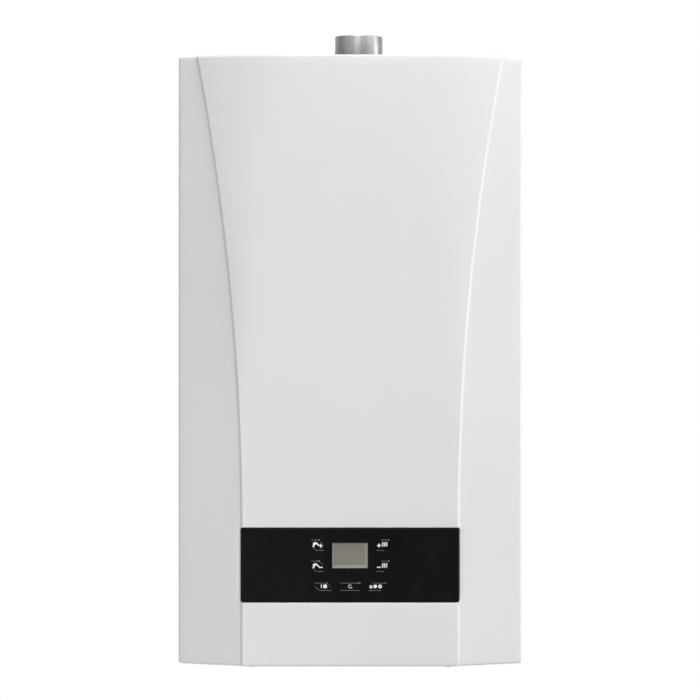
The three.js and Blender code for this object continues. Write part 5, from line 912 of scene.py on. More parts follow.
# ---------------------------------------------------------------- main board
# A green laminate board with a switch behind each key in front, and at its back the relays, plugs,
# transformer, fuse and capacitor, which stand in the box's depth.

BOARD_FRONT = 268
BOARD_BACK = BOARD_FRONT - 1.6
BOARD_HALF = 112
BOARD_LOW = 74
BOARD_TOP = 156
RELAY_SHARES = (-0.62, -0.44, 0.5)
PLUG_SHARES = (-0.79, -0.5, -0.21, 0.27, 0.55)
CORE_SHEETS = 15

laminate = Finish("board_laminate", "board", (220, 5, (0.012, 0.09, 0.03), (0.02, 0.15, 0.055)), 0.35,
                  span=(0.35, 0.65))
black_moulding = Finish("black_moulding", "black_plastic", (90, 3, grey(0.012), grey(0.02)),
                        (1500, 2, 0.42, 0.58), relief=(0.05, 0.2))
cream_moulding = Finish("cream_moulding", "white_plastic", (120, 3, (0.72, 0.69, 0.6), (0.8, 0.77, 0.69)),
                        0.45)
copper_winding = Finish("enamelled_winding", "copper", (40, 2, (0.35, 0.13, 0.05), (0.6, 0.27, 0.12),
                                                        (1, 40, 1)),
                        0.35, metallic=0.8, span=(0.4, 0.6))


class BoardPiece(Fitting):
    """A piece on the board's back: boxes stand out from it, at heights above its lower edge."""

    def box(self, left, right, low, high, depth, lift=0.0):
        return self.block((left, BOARD_BACK - depth, BOARD_LOW + low),
                          (right, BOARD_BACK - lift, BOARD_LOW + high))


board = Fitting("board_laminate")
board.block((-BOARD_HALF, BOARD_BACK, BOARD_LOW), (BOARD_HALF, BOARD_FRONT, BOARD_TOP))
board.fitted(laminate, "main_board", body="control_box", edge=0.2)

switches = Fitting("board_switches")
for x, z, *_ in KEYS.values():
    switches.block((x - 3, BOARD_FRONT, z - 3), (x + 3, BOARD_FRONT + 2.6, z + 3))
    switches.turned((x, BOARD_FRONT + 2.6, z), AHEAD, [(1.7, 0), (1.7, 1.4), (0, 1.4)], 16)
switches.fitted(black_moulding, body="control_box", edge=0.25)

relays = BoardPiece("board_relays")
for x in (share * BOARD_HALF for share in RELAY_SHARES):
    relays.box(x - 8, x + 8, 44, 62, 15)
relays.fitted(black_moulding, body="control_box", edge=0.5)

plugs = BoardPiece("board_plugs")
for x in (share * BOARD_HALF for share in PLUG_SHARES):
    plugs.box(x - 12, x + 12, 4, 6, 10)
    plugs.box(x - 12, x + 12, 10.4, 12, 10)
    for left in (x - 12 + 4.48 * i for i in range(6)):
        plugs.box(left, left + 1.6, 6, 10.4, 10)
    plugs.box(x - 11, x + 11, 5.5, 11, 2)
plugs.fitted(cream_moulding, body="control_box")

core = BoardPiece("board_transformer_core")
for depth in (26 - 1.4 * i for i in range(CORE_SHEETS)):
    core.box(-21, 21, 28, 64, depth, depth - 1.1)
core.box(-20.6, 20.6, 28.4, 63.6, 26, 3)
core.fitted(zinc_steel, body="control_box")
winding = Fitting("board_transformer_winding")
winding.pulled(soft_box(-13, BOARD_LOW + 33, 13, BOARD_LOW + 59, 4), BOARD_BACK - 30, 29)
winding.fitted(copper_winding, body="control_box", edge=1)

Fitting("board_capacitor").turned((0.79 * BOARD_HALF, BOARD_BACK, BOARD_LOW + 26), BACK, [
    (0, 0), (7.4, 0), (8, 0.6), (8, 2.6), (7.5, 3.2), (8, 3.8), (8, 19.4), (7.4, 20), (6, 20), (5.8, 19.7),
    (0, 19.7)]).fitted(black_moulding, body="control_box")
Fitting("board_fuse").turned((0.7 * BOARD_HALF, BOARD_BACK - 4, BOARD_LOW + 50), RIGHT, [
    (0, 0), (4.4, 0), (5, 0.6), (5, 6), (4.5, 6.4), (4.5, 19.4), (5, 19.8), (5, 25.2), (4.4, 25.8),
    (0, 25.8)], 24).fitted(cream_moulding, body="control_box")

# ---------------------------------------------------------------- frame
# The back plate, hanging rail and bottom tray are folded from galvanised sheet. The rail's two slots
# hook on the wall, and the tray's ears carry the control box. A nylon gland sits in the tray.

galvanised = Finish("galvanised_sheet", "galvanised", None, 0.4, metallic=1.0)
spangle = galvanised.node("ShaderNodeTexVoronoi", Vector=galvanised.place, Scale=130)
spangle_tones = galvanised.node("ShaderNodeSeparateColor", spangle.outputs["Color"]).outputs
zinc_cloud = galvanised.ramp(galvanised.noise(28, 5), (0.3, (0.31, 0.322, 0.335)), (0.7, (0.39, 0.4, 0.415)))
galvanised.joined("Base Color", galvanised.node(
    "ShaderNodeVectorMath", zinc_cloud, Scale=galvanised.ranged(spangle_tones[0], 0.94, 1.06),
    settings={"operation": "SCALE"}))
galvanised.joined("Roughness", galvanised.ranged(spangle_tones[1], 0.37, 0.43))

for node, edge in (("back_plate", 0.45), ("hanging_rail", 0.5), ("bottom_tray", 0.4)):
    bevelled(node, galvanised, edge)

gland = Fitting("cable_gland_turned")
gland_place = (-165, 190, 0)
gland.turned(gland_place, UP, [
    (3.5, 10), (6.4, 10), (7, 10.6), *((7.4 + 3.4 * i / 8 - 0.35 * (i % 2), 11 + i * 1.35) for i in range(9)),
    (9, 22), (9, 31.5), (9, 45.2), (8.6, 45.5), (3.5, 45.5), (3.5, 10)], 24, ring=True)
gland.turned(gland_place, UP, [(9, 22), (12.2, 22), (13, 22.8), (13, 31.7), (9, 31.7)], 6)
gland.turned(gland_place, UP, [(9, 33.8), (13, 33.8), (13, 38.7), (12.2, 39.5), (9, 39.5)], 6)
gland.fitted(black_moulding, "cable_gland")

# ---------------------------------------------------------------- expansion vessel
# A flat round vessel of two pressed steel halves, rolled together at a seam round the middle and
# stove-enamelled red. It hangs behind the air chamber's partition, its nipple downwards.

VESSEL_RADIUS = 158
VESSEL_MIDDLE = 76 / 2

red_enamel = Finish("red_stove_enamel", "red_paint", (14, 4, (0.3, 0.02, 0.014), (0.36, 0.026, 0.018)),
                    (500, 2, 0.26, 0.4), relief=(0.04, 0.2))


def pressed_half(sign):
    """Half of the vessel's profile, from its flat end to the seam, as distances from its back."""
    middle = VESSEL_MIDDLE
    rim = VESSEL_RADIUS
    turn = [(rim - 26 + 23 * math.sin(math.radians(a)), middle - 22 + 22 * math.cos(math.radians(a)))
            for a in range(0, 91, 10)]
    beads = [(0, middle), (rim - 70, middle), (rim - 66, middle - 1.6), (rim - 60, middle - 1.6),
             (rim - 56, middle)]
    lip = [(rim - 3, 5), (rim - 1.2, 4.2), (rim, 2.6), (rim, 0)]
    return [(radius, middle + sign * distance) for radius, distance in beads + turn + lip]


vessel = Fitting("expansion_vessel_pressed")
vessel.turned((0, 1.8, 452), AHEAD, pressed_half(-1) + pressed_half(1)[-2::-1], 96)
vessel.turned((60, 46, 0), UP, [(0, 318), (9, 318), (9, 291), (8.4, 290), (0, 290)], 6)
vessel.fitted(red_enamel, "expansion_vessel", angle=28)

# ---------------------------------------------------------------- air chamber
# A sealed box of galvanised sheet round the burner and the fan. Its front cover is a pressed panel on
# six hexagon-headed sheet screws, with a round sight glass in front of the flame.

CHAMBER_HALF = 372 / 2
CHAMBER_BOTTOM = 255
CHAMBER_TOP = 698.9
CHAMBER_SPLIT = CHAMBER_BOTTOM + 0.4 * (CHAMBER_TOP - CHAMBER_BOTTOM)
COVER_FACE = 263.3
FIELD_MARGIN = 28
SIGHT_HEIGHT = 330


def sheet_screws(name, places, up, radius, height):
    """Hexagon heads on washers, one at each place, their heads ahead or up."""
    tree = PieceTree(name, Radius=radius * MM, Height=height * MM)
    radius, height = tree.inputs["Radius"], tree.inputs["Height"]
    screw = tree.node("GeometryNodeJoinGeometry")
    for kind, level, sizes in (
            ("Cylinder", 0.15, {"Vertices": 24, "Radius": radius, "Depth": height * 0.3}),
            ("Cylinder", 0.475, {"Vertices": 6, "Radius": radius * 0.72, "Depth": height * 0.75}),
            ("Cone", 0.85, {"Vertices": 24, "Radius Top": radius * 0.25, "Radius Bottom": radius * 0.6,
                            "Depth": height * 0.15})):
        lifted = tree.node("GeometryNodeTransform", tree.node("GeometryNodeMesh" + kind, **sizes),
                           Translation=tree.vector(z=height * level))
        tree.tree.links.new(lifted.outputs[0], screw.inputs[0])
    dots = tree.node("GeometryNodeMeshToPoints", tree.places)
    spread = tree.node("GeometryNodeInstanceOnPoints", dots, Instance=screw,
                       Rotation=(0 if up else math.pi / 2, 0, 0))
    settled(tree.baked(spread, [(x * MM, -ahead * MM, BASE + z * MM) for x, ahead, z in places]), zinc_steel)


bevelled("air_chamber_shell", galvanised, 0.4)

cover = Fitting("air_chamber_cover_pressed")


def cover_outline(half, low, high, radius, steps):
    return soft_box(-half * MM, BASE + low * MM, half * MM, BASE + high * MM, radius * MM, steps)


def cover_ring(low, high, inset, rise):
    """One ring of the raised bead round a field of the cover."""
    outline = cover_outline(CHAMBER_HALF - FIELD_MARGIN - inset, low + inset, high - inset, 14 - inset, 6)
    return cover.ring(outline, (COVER_FACE + rise) * MM)


plate_outline = cover_outline(CHAMBER_HALF, CHAMBER_BOTTOM, CHAMBER_TOP, 1, 2)
plate_edge = cover.rounded_edge(plate_outline, COVER_FACE * MM, 0.4 * MM, 2)
cover.wall(*plate_edge, cover.ring(plate_outline, (COVER_FACE - 1) * MM))
bead_feet = []
for low, high in ((CHAMBER_BOTTOM + FIELD_MARGIN, CHAMBER_SPLIT - 14),
                  (CHAMBER_SPLIT + 14, CHAMBER_TOP - FIELD_MARGIN)):
    rings = [cover_ring(low, high, inset, rise) for inset, rise in ((0, 0), (0.4, 1.2), (1.4, 2.6), (2.6, 3))]
    bead_feet.append(rings[0])
    cover.wall(*rings)
    holes = []
    if low < SIGHT_HEIGHT < high:
        (sight_hole,) = disc((0, BASE + SIGHT_HEIGHT * MM), 16 * MM, sides=40)
        holes = [cover.wall(*(cover.ring(sight_hole, (COVER_FACE + rise) * MM) for rise in (-1, 3)))]
    cover.sheet(rings[-1], *holes)
cover.sheet(plate_edge[0], *bead_feet)
cover.fitted(galvanised, "air_chamber_cover", angle=40)
sheet_screws("air_chamber_cover_screws", [
    (x, COVER_FACE, z) for x in (5 - CHAMBER_HALF, CHAMBER_HALF - 5)
    for z in (CHAMBER_BOTTOM + 6, CHAMBER_SPLIT, CHAMBER_TOP - 6)], False, 4.2, 3)

heat_glass = Finish("sight_glass", "glass", (30, 2, (0.75, 0.8, 0.8), (0.86, 0.9, 0.9)), (200, 2, 0.04, 0.1),
                    Transmission_Weight=0.85, IOR=1.47)
sight_place = (0, COVER_FACE - 1, SIGHT_HEIGHT)
Fitting("sight_glass_pane").turned(sight_place, AHEAD, [
    (0, 0), (15.2, 0), (15.7, 0.5), (15.7, 4.4), (12.4, 5), (0, 5)], 40).fitted(heat_glass, "sight_glass")
Fitting("sight_glass_ring").turned(sight_place, AHEAD, [
    (12, 5.1), (12.3, 6.2), (13, 6.5), (19, 6.5), (19.7, 6), (20, 5.4), (20, 4.5), (15.8, 4.5),
    (12, 5.1)], 40, ring=True).fitted(zinc_steel)

# ---------------------------------------------------------------- flue
# A rolled tube of bright sheet that comes out of the casing's top, off centre. Its colour has dark and light
# streaks along its length, which are painted reflections of the studio. It passes through a ring flange,
# screwed to the air chamber, where air is drawn in.

FLUE_X, FLUE_DEPTH = 9.3, 147
STUB_FOOT = CHAMBER_TOP - 9
STUB_LENGTH = 739 - STUB_FOOT
FLANGE_BOLTS = 56

# The flue's colour: dark and light streaks along the tube, painted reflections rather than marks in the
# metal.
reflection_streaked_sheet = Finish("bright_sheet_painted_reflections", "aluminium", (75, 3, grey(0.2), grey(0.48), (1, 1, 0.04)),
                      (160, 4, 0.26, 0.42, (1, 1, 0.05)), metallic=1.0)
cast_aluminium = Finish("cast_aluminium", "aluminium", (70, 4, (0.5, 0.5, 0.51), (0.62, 0.62, 0.63)),
                        (1200, 2, 0.38, 0.54), metallic=1.0, relief=(0.08, 0.3))

Fitting("flue_stub_rolled").turned((FLUE_X, FLUE_DEPTH, STUB_FOOT), UP, [
    (29.2, 0.2), (29.8, 0), (30, 0.4), (30, STUB_LENGTH - 0.4), (29.7, STUB_LENGTH), (29.2, STUB_LENGTH),
    (29, STUB_LENGTH - 0.3), (29, 0.4), (29.2, 0.2)], 72, ring=True).fitted(reflection_streaked_sheet, "flue_stub")
Fitting("flue_flange_ring").turned((FLUE_X, FLUE_DEPTH, CHAMBER_TOP + 0.3), UP, [
    (49, 0), (62, 0), (62, 1.4), (61.4, 2), (51.5, 2), (50, 1.7), (49, 1.2),
    (49, 0)], 72, ring=True).fitted(cast_aluminium, "flue_flange")
sheet_screws("flue_flange_screws", [
    (FLUE_X + FLANGE_BOLTS * math.cos(a), FLUE_DEPTH - FLANGE_BOLTS * math.sin(a), CHAMBER_TOP + 2.3)
    for a in (math.radians(degrees) for degrees in (45, 135, 225, 315))], True, 3.6, 2.2)
bevelled("flue_hood", cast_aluminium, 0.4)

# ---------------------------------------------------------------- burner and heat exchanger
# Above the burner's steel blades stands a combustion chamber of pressed fibre board, and on it the
# copper heat exchanger: thin fins on five passes of tube, joined by return bends.

HEARTH_HALF = 112
HEARTH_BACK, HEARTH_FRONT = 117, 231
EXCHANGER_LOW, EXCHANGER_HIGH = 412.9, 468.9
EXCHANGER_MIDDLE = (EXCHANGER_LOW + EXCHANGER_HIGH) / 2
PASSES = 5
PASS_PITCH = (HEARTH_FRONT - HEARTH_BACK) / PASSES
PASS_PLACES = [HEARTH_BACK + PASS_PITCH * (i + 0.5) for i in range(PASSES)]
ELECTRODE_HEIGHT = 324.6

bright_copper = Finish("drawn_copper", "copper", None, (140, 4, 0.22, 0.42), metallic=1.0)
bright_copper.colour(bright_copper.noise(26, 5), (0.3, (0.56, 0.23, 0.13)), (0.55, (0.68, 0.31, 0.19)),
                     (0.8, (0.5, 0.2, 0.12)))
fibre_board = Finish("fibre_board", "fibre", (80, 6, (0.6, 0.56, 0.48), (0.74, 0.7, 0.62)), 0.9)
fibre_board.relief(fibre_board.noise(600, 5), 0.4, 0.5)
glazed = Finish("glazed_ceramic", "ceramic", (40, 3, (0.78, 0.75, 0.67), (0.85, 0.83, 0.77)), 0.18)


def exchanger_fins():
    """Thin copper plates side by side between the end plates."""
    tree = PieceTree("heat_exchanger_fins", Count=64, Half_Span=(HEARTH_HALF - 5) * MM, Thickness=0.5 * MM,
                     Depth=(HEARTH_FRONT - HEARTH_BACK - 4) * MM,
                     Height=(EXCHANGER_HIGH - EXCHANGER_LOW - 2) * MM)
    size = tree.inputs
    row = tree.node("GeometryNodeMeshLine", settings={"mode": "END_POINTS"}, Count=size["Count"],
                    Start_Location=tree.vector(-size["Half_Span"]), Offset=tree.vector(size["Half_Span"]))
    fin = tree.node("GeometryNodeMeshCube",
                    Size=tree.vector(size["Thickness"], size["Depth"], size["Height"]))
    spread = tree.node("GeometryNodeInstanceOnPoints", row, Instance=fin)
    middle = (0, -(HEARTH_BACK + HEARTH_FRONT) / 2 * MM, BASE + EXCHANGER_MIDDLE * MM)
    settled(tree.baked(tree.node("GeometryNodeTransform", spread, Translation=middle)), bright_copper)


exchanger = Fitting("heat_exchanger_tubes")
for left in (-HEARTH_HALF, HEARTH_HALF - 3):
    exchanger.block((left, HEARTH_BACK, EXCHANGER_LOW), (left + 3, HEARTH_FRONT, EXCHANGER_HIGH))
for ahead in PASS_PLACES:
    exchanger.turned((3 - HEARTH_HALF, ahead, EXCHANGER_MIDDLE), RIGHT, [(7, 0), (7, 2 * HEARTH_HALF - 6)],
                     16)
for i, (near, far) in enumerate(zip(PASS_PLACES, PASS_PLACES[1:])):
    side = 1 if i % 2 == 0 else -1
    exchanger.pipe([(side * (HEARTH_HALF + reach), ahead, EXCHANGER_MIDDLE)
                    for reach, ahead in ((-2, near), (14, near), (14, far), (-2, far))], 7,
                    PASS_PITCH / 2 - 1.5, 16)
for side, ahead in ((-1, 128.4), (1, 219.6)):
    exchanger.turned((side * (HEARTH_HALF - 2), ahead, EXCHANGER_MIDDLE), (side, 0, 0), [
        (0, 0), (9, 0), (9, 9), (11, 9.6), (11, 18), (10.4, 18.6), (0, 18.6)], 24)
exchanger.fitted(bright_copper, "heat_exchanger", edge=0.3)
exchanger_fins()

bevelled("combustion_chamber", fibre_board, 0.8)
bevelled("burner_rack", zinc_steel, 0.3)
bevelled("gas_manifold", cast_aluminium, 0.5)

for node, x, drop in (("ignition_electrode", -38, 8), ("sensing_electrode", 38, 4)):
    Fitting(node + "_body").turned((x, HEARTH_FRONT - 9, ELECTRODE_HEIGHT), AHEAD, [
        (0, 0), (3, 0), (3.6, 1.5), (3.6, 11.4), (6, 11.4), (6.6, 12), (6.6, 16.4), (6, 17), (3.6, 17),
        (3.6, 28),
        (2.8, 31), (0, 31)], 24).fitted(glazed, node)
    Fitting(node + "_wire").pipe([
        (x, HEARTH_FRONT + 26, ELECTRODE_HEIGHT), (x, HEARTH_FRONT - 24, ELECTRODE_HEIGHT),
        (x, HEARTH_FRONT - 30, ELECTRODE_HEIGHT - drop)], 1.2, 3, 10, 4).fitted(zinc_steel)

# ---------------------------------------------------------------- fan
# A galvanised scroll with a forward-curved wheel inside, driven by a small motor on four legs. A tube
# of soft silicone joins its tapping to the air pressure switch on the partition.

bevelled("fan_housing", galvanised, 0.35)
bevelled("fan_impeller", galvanised, 0.25, "fan_wheel")
bevelled("fan_motor", zinc_steel, 0.5)

switch = Fitting("air_pressure_switch_body")
switch.turned((-150, 85.3, 648), AHEAD, [
    (0, 0), (10, 0), (10, 8), (24.5, 8), (27, 9.2), (28, 11), (28, 15), (29.4, 15), (30, 15.6), (30, 18.4),
    (29.4, 19), (28, 19), (27, 22.5), (24, 27), (21, 28), (12, 29), (9.6, 30), (9, 31), (9, 35.4), (8.4, 36),
    (0, 36)], 48)
switch.turned((-162, 109.3, 634), AHEAD, [(0, 0), (3, 0), (3, 11), (3.2, 11.5), (2.4, 15.8), (0, 16)], 20)
switch.block((-154, 119.3, 645), (-146, 129.3, 651))
for a in (math.tau * i / 12 for i in range(12)):
    switch.turned((-150 + 26 * math.cos(a), 104.3, 648 + 26 * math.sin(a)), AHEAD, [
        (0, 0), (1.7, 0), (1.7, 1), (0, 1)], 10)
switch.fitted(black_moulding, "air_pressure_switch")

silicone = Finish("soft_silicone", "silicone", (30, 3, (0.56, 0.53, 0.48), (0.62, 0.6, 0.55)), 0.5)
Fitting("pressure_tube_soft").pipe([(-162, 125.6, 634), (-162, 147, 634), (-162, 147, 594),
                                    (-117.6, 147, 594)],
                                   3.2, 8).fitted(silicone, "pressure_tube")

# ---------------------------------------------------------------- water groups
# Two cast brass manifolds whose threaded tails go down through the tray: the flow group with the
# diverter valve at the left, the return group with the pump and the safety valve at the right. A stack
# of pressed stainless plates, for hot water, stands behind them on their ports.

TAIL_DEPTH = 95
TAIL_PITCH = 65
GROUP_HEIGHT = 84
PORT_X = 76
PORT_HEIGHTS = (GROUP_HEIGHT, GROUP_HEIGHT + 34)
STEM_X = 97.5
TOWER_X = 130
PLATES = 14

cast_brass = Finish("cast_brass", "brass", (45, 5, (0.55, 0.4, 0.16), (0.7, 0.53, 0.26)),
                    (900, 3, 0.28, 0.46),
                    metallic=1.0, relief=(0.05, 0.25))
plate_steel = Finish("pressed_stainless", "steel", (30, 4, (0.55, 0.55, 0.54), (0.68, 0.68, 0.66),
                                                    (1, 1, 0.2)),
                     (400, 3, 0.2, 0.34, (1, 1, 0.1)), metallic=1.0)


def thread(radius, start, length, pitch=1.8, depth=0.8):
    """Profile of a threaded end, as rings of crests and roots."""
    halves = 2 * int(length / pitch) + 1
    return [(radius - depth * (i % 2 == 0), start + pitch * i / 2) for i in range(halves)]


def tail(group, x, radius, top):
    """A threaded pipe end below the tray, its hexagon on the tray and its riser to the group."""
    group.turned((x, TAIL_DEPTH, 0), UP, [
        (radius - 3, 22), (radius - 3, 4.5), (radius - 2.6, 4), (radius - 1.2, 4), *thread(radius, 4.6, 22),
        (radius, 29), (radius, top)], 36)
    group.turned((x, TAIL_DEPTH, 0), UP, [
        (radius, 33.8), (radius + 4.2, 33.8), (radius + 5, 34.6), (radius + 5, 44), (radius + 4.2, 44.8),
        (radius, 44.8)], 6)


def water_group(name, side):
    """What both groups have: two tails, the cross bar, two ports and the stem of a tap."""
    group = Fitting(name)
    tail(group, side * 2 * TAIL_PITCH, 13, GROUP_HEIGHT)
    tail(group, side * TAIL_PITCH, 10.4, GROUP_HEIGHT)
    start = min(side * TAIL_PITCH - side * 16, side * 2 * TAIL_PITCH + side * 16)
    group.turned((start, TAIL_DEPTH, GROUP_HEIGHT), RIGHT, [
        (0, 0), (13, 0), (15.5, 1), (16, 3), (16, 25), (15, 27), (15, 70), (16, 72), (16, 94), (15.5, 96),
        (13, 97), (0, 97)], 32)
    for height in PORT_HEIGHTS:
        group.turned((side * PORT_X, TAIL_DEPTH, height), BACK, [
            (0, -9), (8, -8.6), (9, -6), (9, 8), (11, 9), (11, 16), (0, 16)])
    group.turned((side * PORT_X, TAIL_DEPTH, GROUP_HEIGHT), UP, [(9, 0), (9, 34)], 24)
    group.turned((side * STEM_X, TAIL_DEPTH, 0), UP, [
        (0, 23), (2, 23), (2.4, 23.4), (2.4, 28), (4.4, 28), (5, 28.6), (5, GROUP_HEIGHT)], 20)
    return group


flow_group = water_group("flow_group_cast", -1)
flow_group.turned((-TOWER_X, TAIL_DEPTH, 0), UP, [
    (3.2, 134), (3.2, 84), (17, 68), (18.4, 69), (19, 71), (19, 124), (20, 126), (22.2, 126), (23, 126.8),
    (23, 133.2), (22.2, 134), (3.2, 134)], 36, ring=True)
flow_group.turned((-STEM_X, TAIL_DEPTH, 0), UP, [
    (0, 84), (11, 84), (11, 106), (12, 107), (12, 117), (11, 118), (0, 118)], 28)
flow_group.fitted(cast_brass, "flow_group")

return_group = water_group("return_group_cast", 1)
return_group.turned((TOWER_X, TAIL_DEPTH, 0), UP, [
    (0, 84), (14, 84), (14, 110), (15, 111.7), (19, 111.7), (20, 112.5), (20, 116.9), (19.2, 117.7),
    (8, 117.7),
    (8, 106), (0, 106)], 36)
return_group.turned((STEM_X, TAIL_DEPTH, GROUP_HEIGHT), AHEAD,
                    [(0, 0), (10, 0), (10, 18.4), (9.4, 19), (0, 19)], 28)
return_group.fitted(cast_brass, "return_group")

plates = Fitting("plate_heat_exchanger_stack")
stack_outline = soft_box(-92, GROUP_HEIGHT - 19, 92, GROUP_HEIGHT + 53, 18, 8)
for start in (34 + 42 / PLATES * i for i in range(PLATES)):
    plates.lofted([[plates.shape.verts.new(plates.spot(a, start + step, b)) for a,
                    b in grown(stack_outline, -inset)]
                   for step, inset in ((0, 1.6), (0.3, 0.5), (1.2, 0), (2, 0), (2.6, 1.2), (3, 1.8))])
for x in (-PORT_X, PORT_X):
    for height in PORT_HEIGHTS:
        plates.turned((x, 73, height), AHEAD, [(0, 0), (9, 0), (9, 5.2), (8.6, 5.7), (0, 5.7)], 28)
plates.fitted(plate_steel, "plate_heat_exchanger")

# ---------------------------------------------------------------- diverter valve
# A motor in a black housing clips over the flow group's tower and pushes a steel pin into the valve.

ACTUATOR_X = -136
ACTUATOR_LOW = 148
ACTUATOR_FRONT = TAIL_DEPTH + 30

actuator = Fitting("diverter_actuator_housing")
actuator.pulled(soft_box(ACTUATOR_X - 26, ACTUATOR_FRONT - 54, ACTUATOR_X + 26, ACTUATOR_FRONT, 6),
                ACTUATOR_LOW, 44, "up")
actuator.turned((ACTUATOR_X, TAIL_DEPTH + 4, ACTUATOR_LOW + 42), UP, [
    (0, 0), (17, 0), (17, 10), (16, 11.4), (14, 12), (0, 12)], 36)
actuator.block((-140.4, ACTUATOR_FRONT - 4, ACTUATOR_LOW + 8),
               (-119.6, ACTUATOR_FRONT + 8, ACTUATOR_LOW + 26))
for x in (-TOWER_X - 17, -TOWER_X + 17):
    actuator.block((x - 3, TAIL_DEPTH - 8, 134.3), (x + 3, TAIL_DEPTH + 8, ACTUATOR_LOW + 1))
for x in range(ACTUATOR_X - 18, ACTUATOR_X + 19, 6):
    actuator.block((x - 1, ACTUATOR_FRONT - 0.5, ACTUATOR_LOW + 30),
                   (x + 1, ACTUATOR_FRONT + 0.8, ACTUATOR_LOW + 40))
actuator.fitted(black_moulding, "diverter_actuator", edge=0.6)
Fitting("diverter_spindle_turned").turned((-TOWER_X, TAIL_DEPTH, 0), UP, [
    (0, 110), (2, 110), (2.5, 110.6), (2.5, 144.5), (5.1, 144.5), (5.5, 144.9), (5.5, 146.6), (5.1, 147),
    (2.5, 147), (2.5, 155.4), (2, 156), (0, 156)], 24).fitted(zinc_steel, "diverter_spindle",
                                                              body="diverter_pin")

# ---------------------------------------------------------------- safety valve and taps
# The safety valve screws on the return group and ends in a spout through the tray. Its red knob and
# the two tap knobs under the tray have lobes for the fingers.

VALVE_BACK = 114.3
LOBES = 6
KNOB_SIDES = 72

safety_valve = Fitting("safety_valve_turned")
safety_valve.turned((STEM_X, VALVE_BACK, GROUP_HEIGHT), AHEAD, [
    (0, 0), (13.2, 0), (14, 0.8), (14, 7.2), (13.2, 8), (0, 8)], 6)
safety_valve.turned((STEM_X, VALVE_BACK, GROUP_HEIGHT), AHEAD, [
    (0, 6), (11, 6), (12, 7), (12, 22), (11, 23), (11, 25.4), (10.4, 26), (2.4, 26), (2.4, 30.6), (2, 31),
    (0, 31)])
safety_valve.turned((STEM_X, TAIL_DEPTH + 30, 0), UP, [
    (5, 30), (5, 10.4), (5.4, 10), (6.6, 10), (7, 10.4), (7, 58), (8, 60), (9.4, 64), (10, 66), (10, 84),
    (0, 84)])
safety_valve.fitted(cast_brass, "safety_valve")

red_moulding = Finish("red_moulding", "red_plastic", (60, 3, (0.42, 0.018, 0.012), (0.5, 0.025, 0.016)), 0.4)
blue_moulding = Finish("blue_moulding", "blue_plastic", (60, 3, (0.022, 0.1, 0.3), (0.032, 0.13, 0.36)), 0.4)


def lobed_knob(node, base, way, radius, length, finish, body):
    """A hand knob on a neck, its grip scalloped into six lobes and hollow where its spigot turns."""
    knob = Fitting(node + "_grip")
    loops = []
    for reach, level in ((2.7, 6), (2.7, 0), (0.55 * radius, 0), (0.6 * radius, 0.4), (0.6 * radius, 3),
                         (radius - 0.8, 3), (radius, 3.8), (radius, length - 1.4),
                         (radius - 0.5, length - 0.5),
                         (radius - 1.4, length), (radius - 4, length), (radius - 5, length - 0.7)):
        wave = 0.08 if reach > 0.62 * radius else 0
        angles = [math.tau * i / KNOB_SIDES for i in range(KNOB_SIDES)]
        loops.append(knob.loop(base, way, level, angles, [
            reach * (1 - wave + wave * math.cos(LOBES * angle)) for angle in angles]))
    knob.lofted(loops)
    knob.fitted(finish, node, body=body)


lobed_knob("safety_valve_knob", (STEM_X, 140.6, GROUP_HEIGHT), AHEAD, 13, 16, red_moulding, "relief_knob")
lobed_knob("filling_knob", (STEM_X, TAIL_DEPTH, 27.7), DOWN, 12, 18, blue_moulding, "filling_tap")
lobed_knob("drain_knob", (-STEM_X, TAIL_DEPTH, 27.7), DOWN, 12, 18, black_moulding, "drain_tap")

# ---------------------------------------------------------------- pump
# A cast volute between the return group and the return pipe, with an automatic air vent on top and a
# canned motor in front of it, behind a terminal box.

PUMP_X, PUMP_HEIGHT = TOWER_X, 166
MOTOR_RIBS = 9
pump_axis = (PUMP_X, TAIL_DEPTH, PUMP_HEIGHT)

coated_casting = Finish("coated_casting", "cast_green", (50, 4, (0.04, 0.052, 0.046), (0.058, 0.07, 0.064)),
                        (700, 4, 0.42, 0.6), relief=(0.15, 0.4))
white_moulding = Finish("white_moulding", "white_plastic", (60, 3, grey(0.66), grey(0.72)), 0.45)

volute = Fitting("pump_volute_cast")
volute.turned((PUMP_X, TAIL_DEPTH - 18, PUMP_HEIGHT), AHEAD, [
    (0, 0), (30, 0), (35, 1.2), (38.6, 4.5), (40, 9), (40, 27), (39.4, 33), (38.6, 35.2), (37.6, 36),
    (0, 36)], 56)
volute.turned(pump_axis, DOWN, [
    (12, 30), (12, 40), (13, 41.6), (19, 42), (20, 43), (20, 47.2), (19.2, 48), (8, 48), (8, 34)], 36)
volute.turned(pump_axis, UP, [(9, 34), (9, 47.4), (8.4, 48), (4, 48), (4, 36)], 28)
volute.turned((PUMP_X + 26, TAIL_DEPTH, PUMP_HEIGHT), UP, [(11, 0), (11, 45.2), (10.4, 46), (7, 46),
                                                           (7, 30)], 28)
volute.fitted(coated_casting, "pump_volute")
bevelled("pump_impeller", white_moulding, 0.3, "pump_wheel")

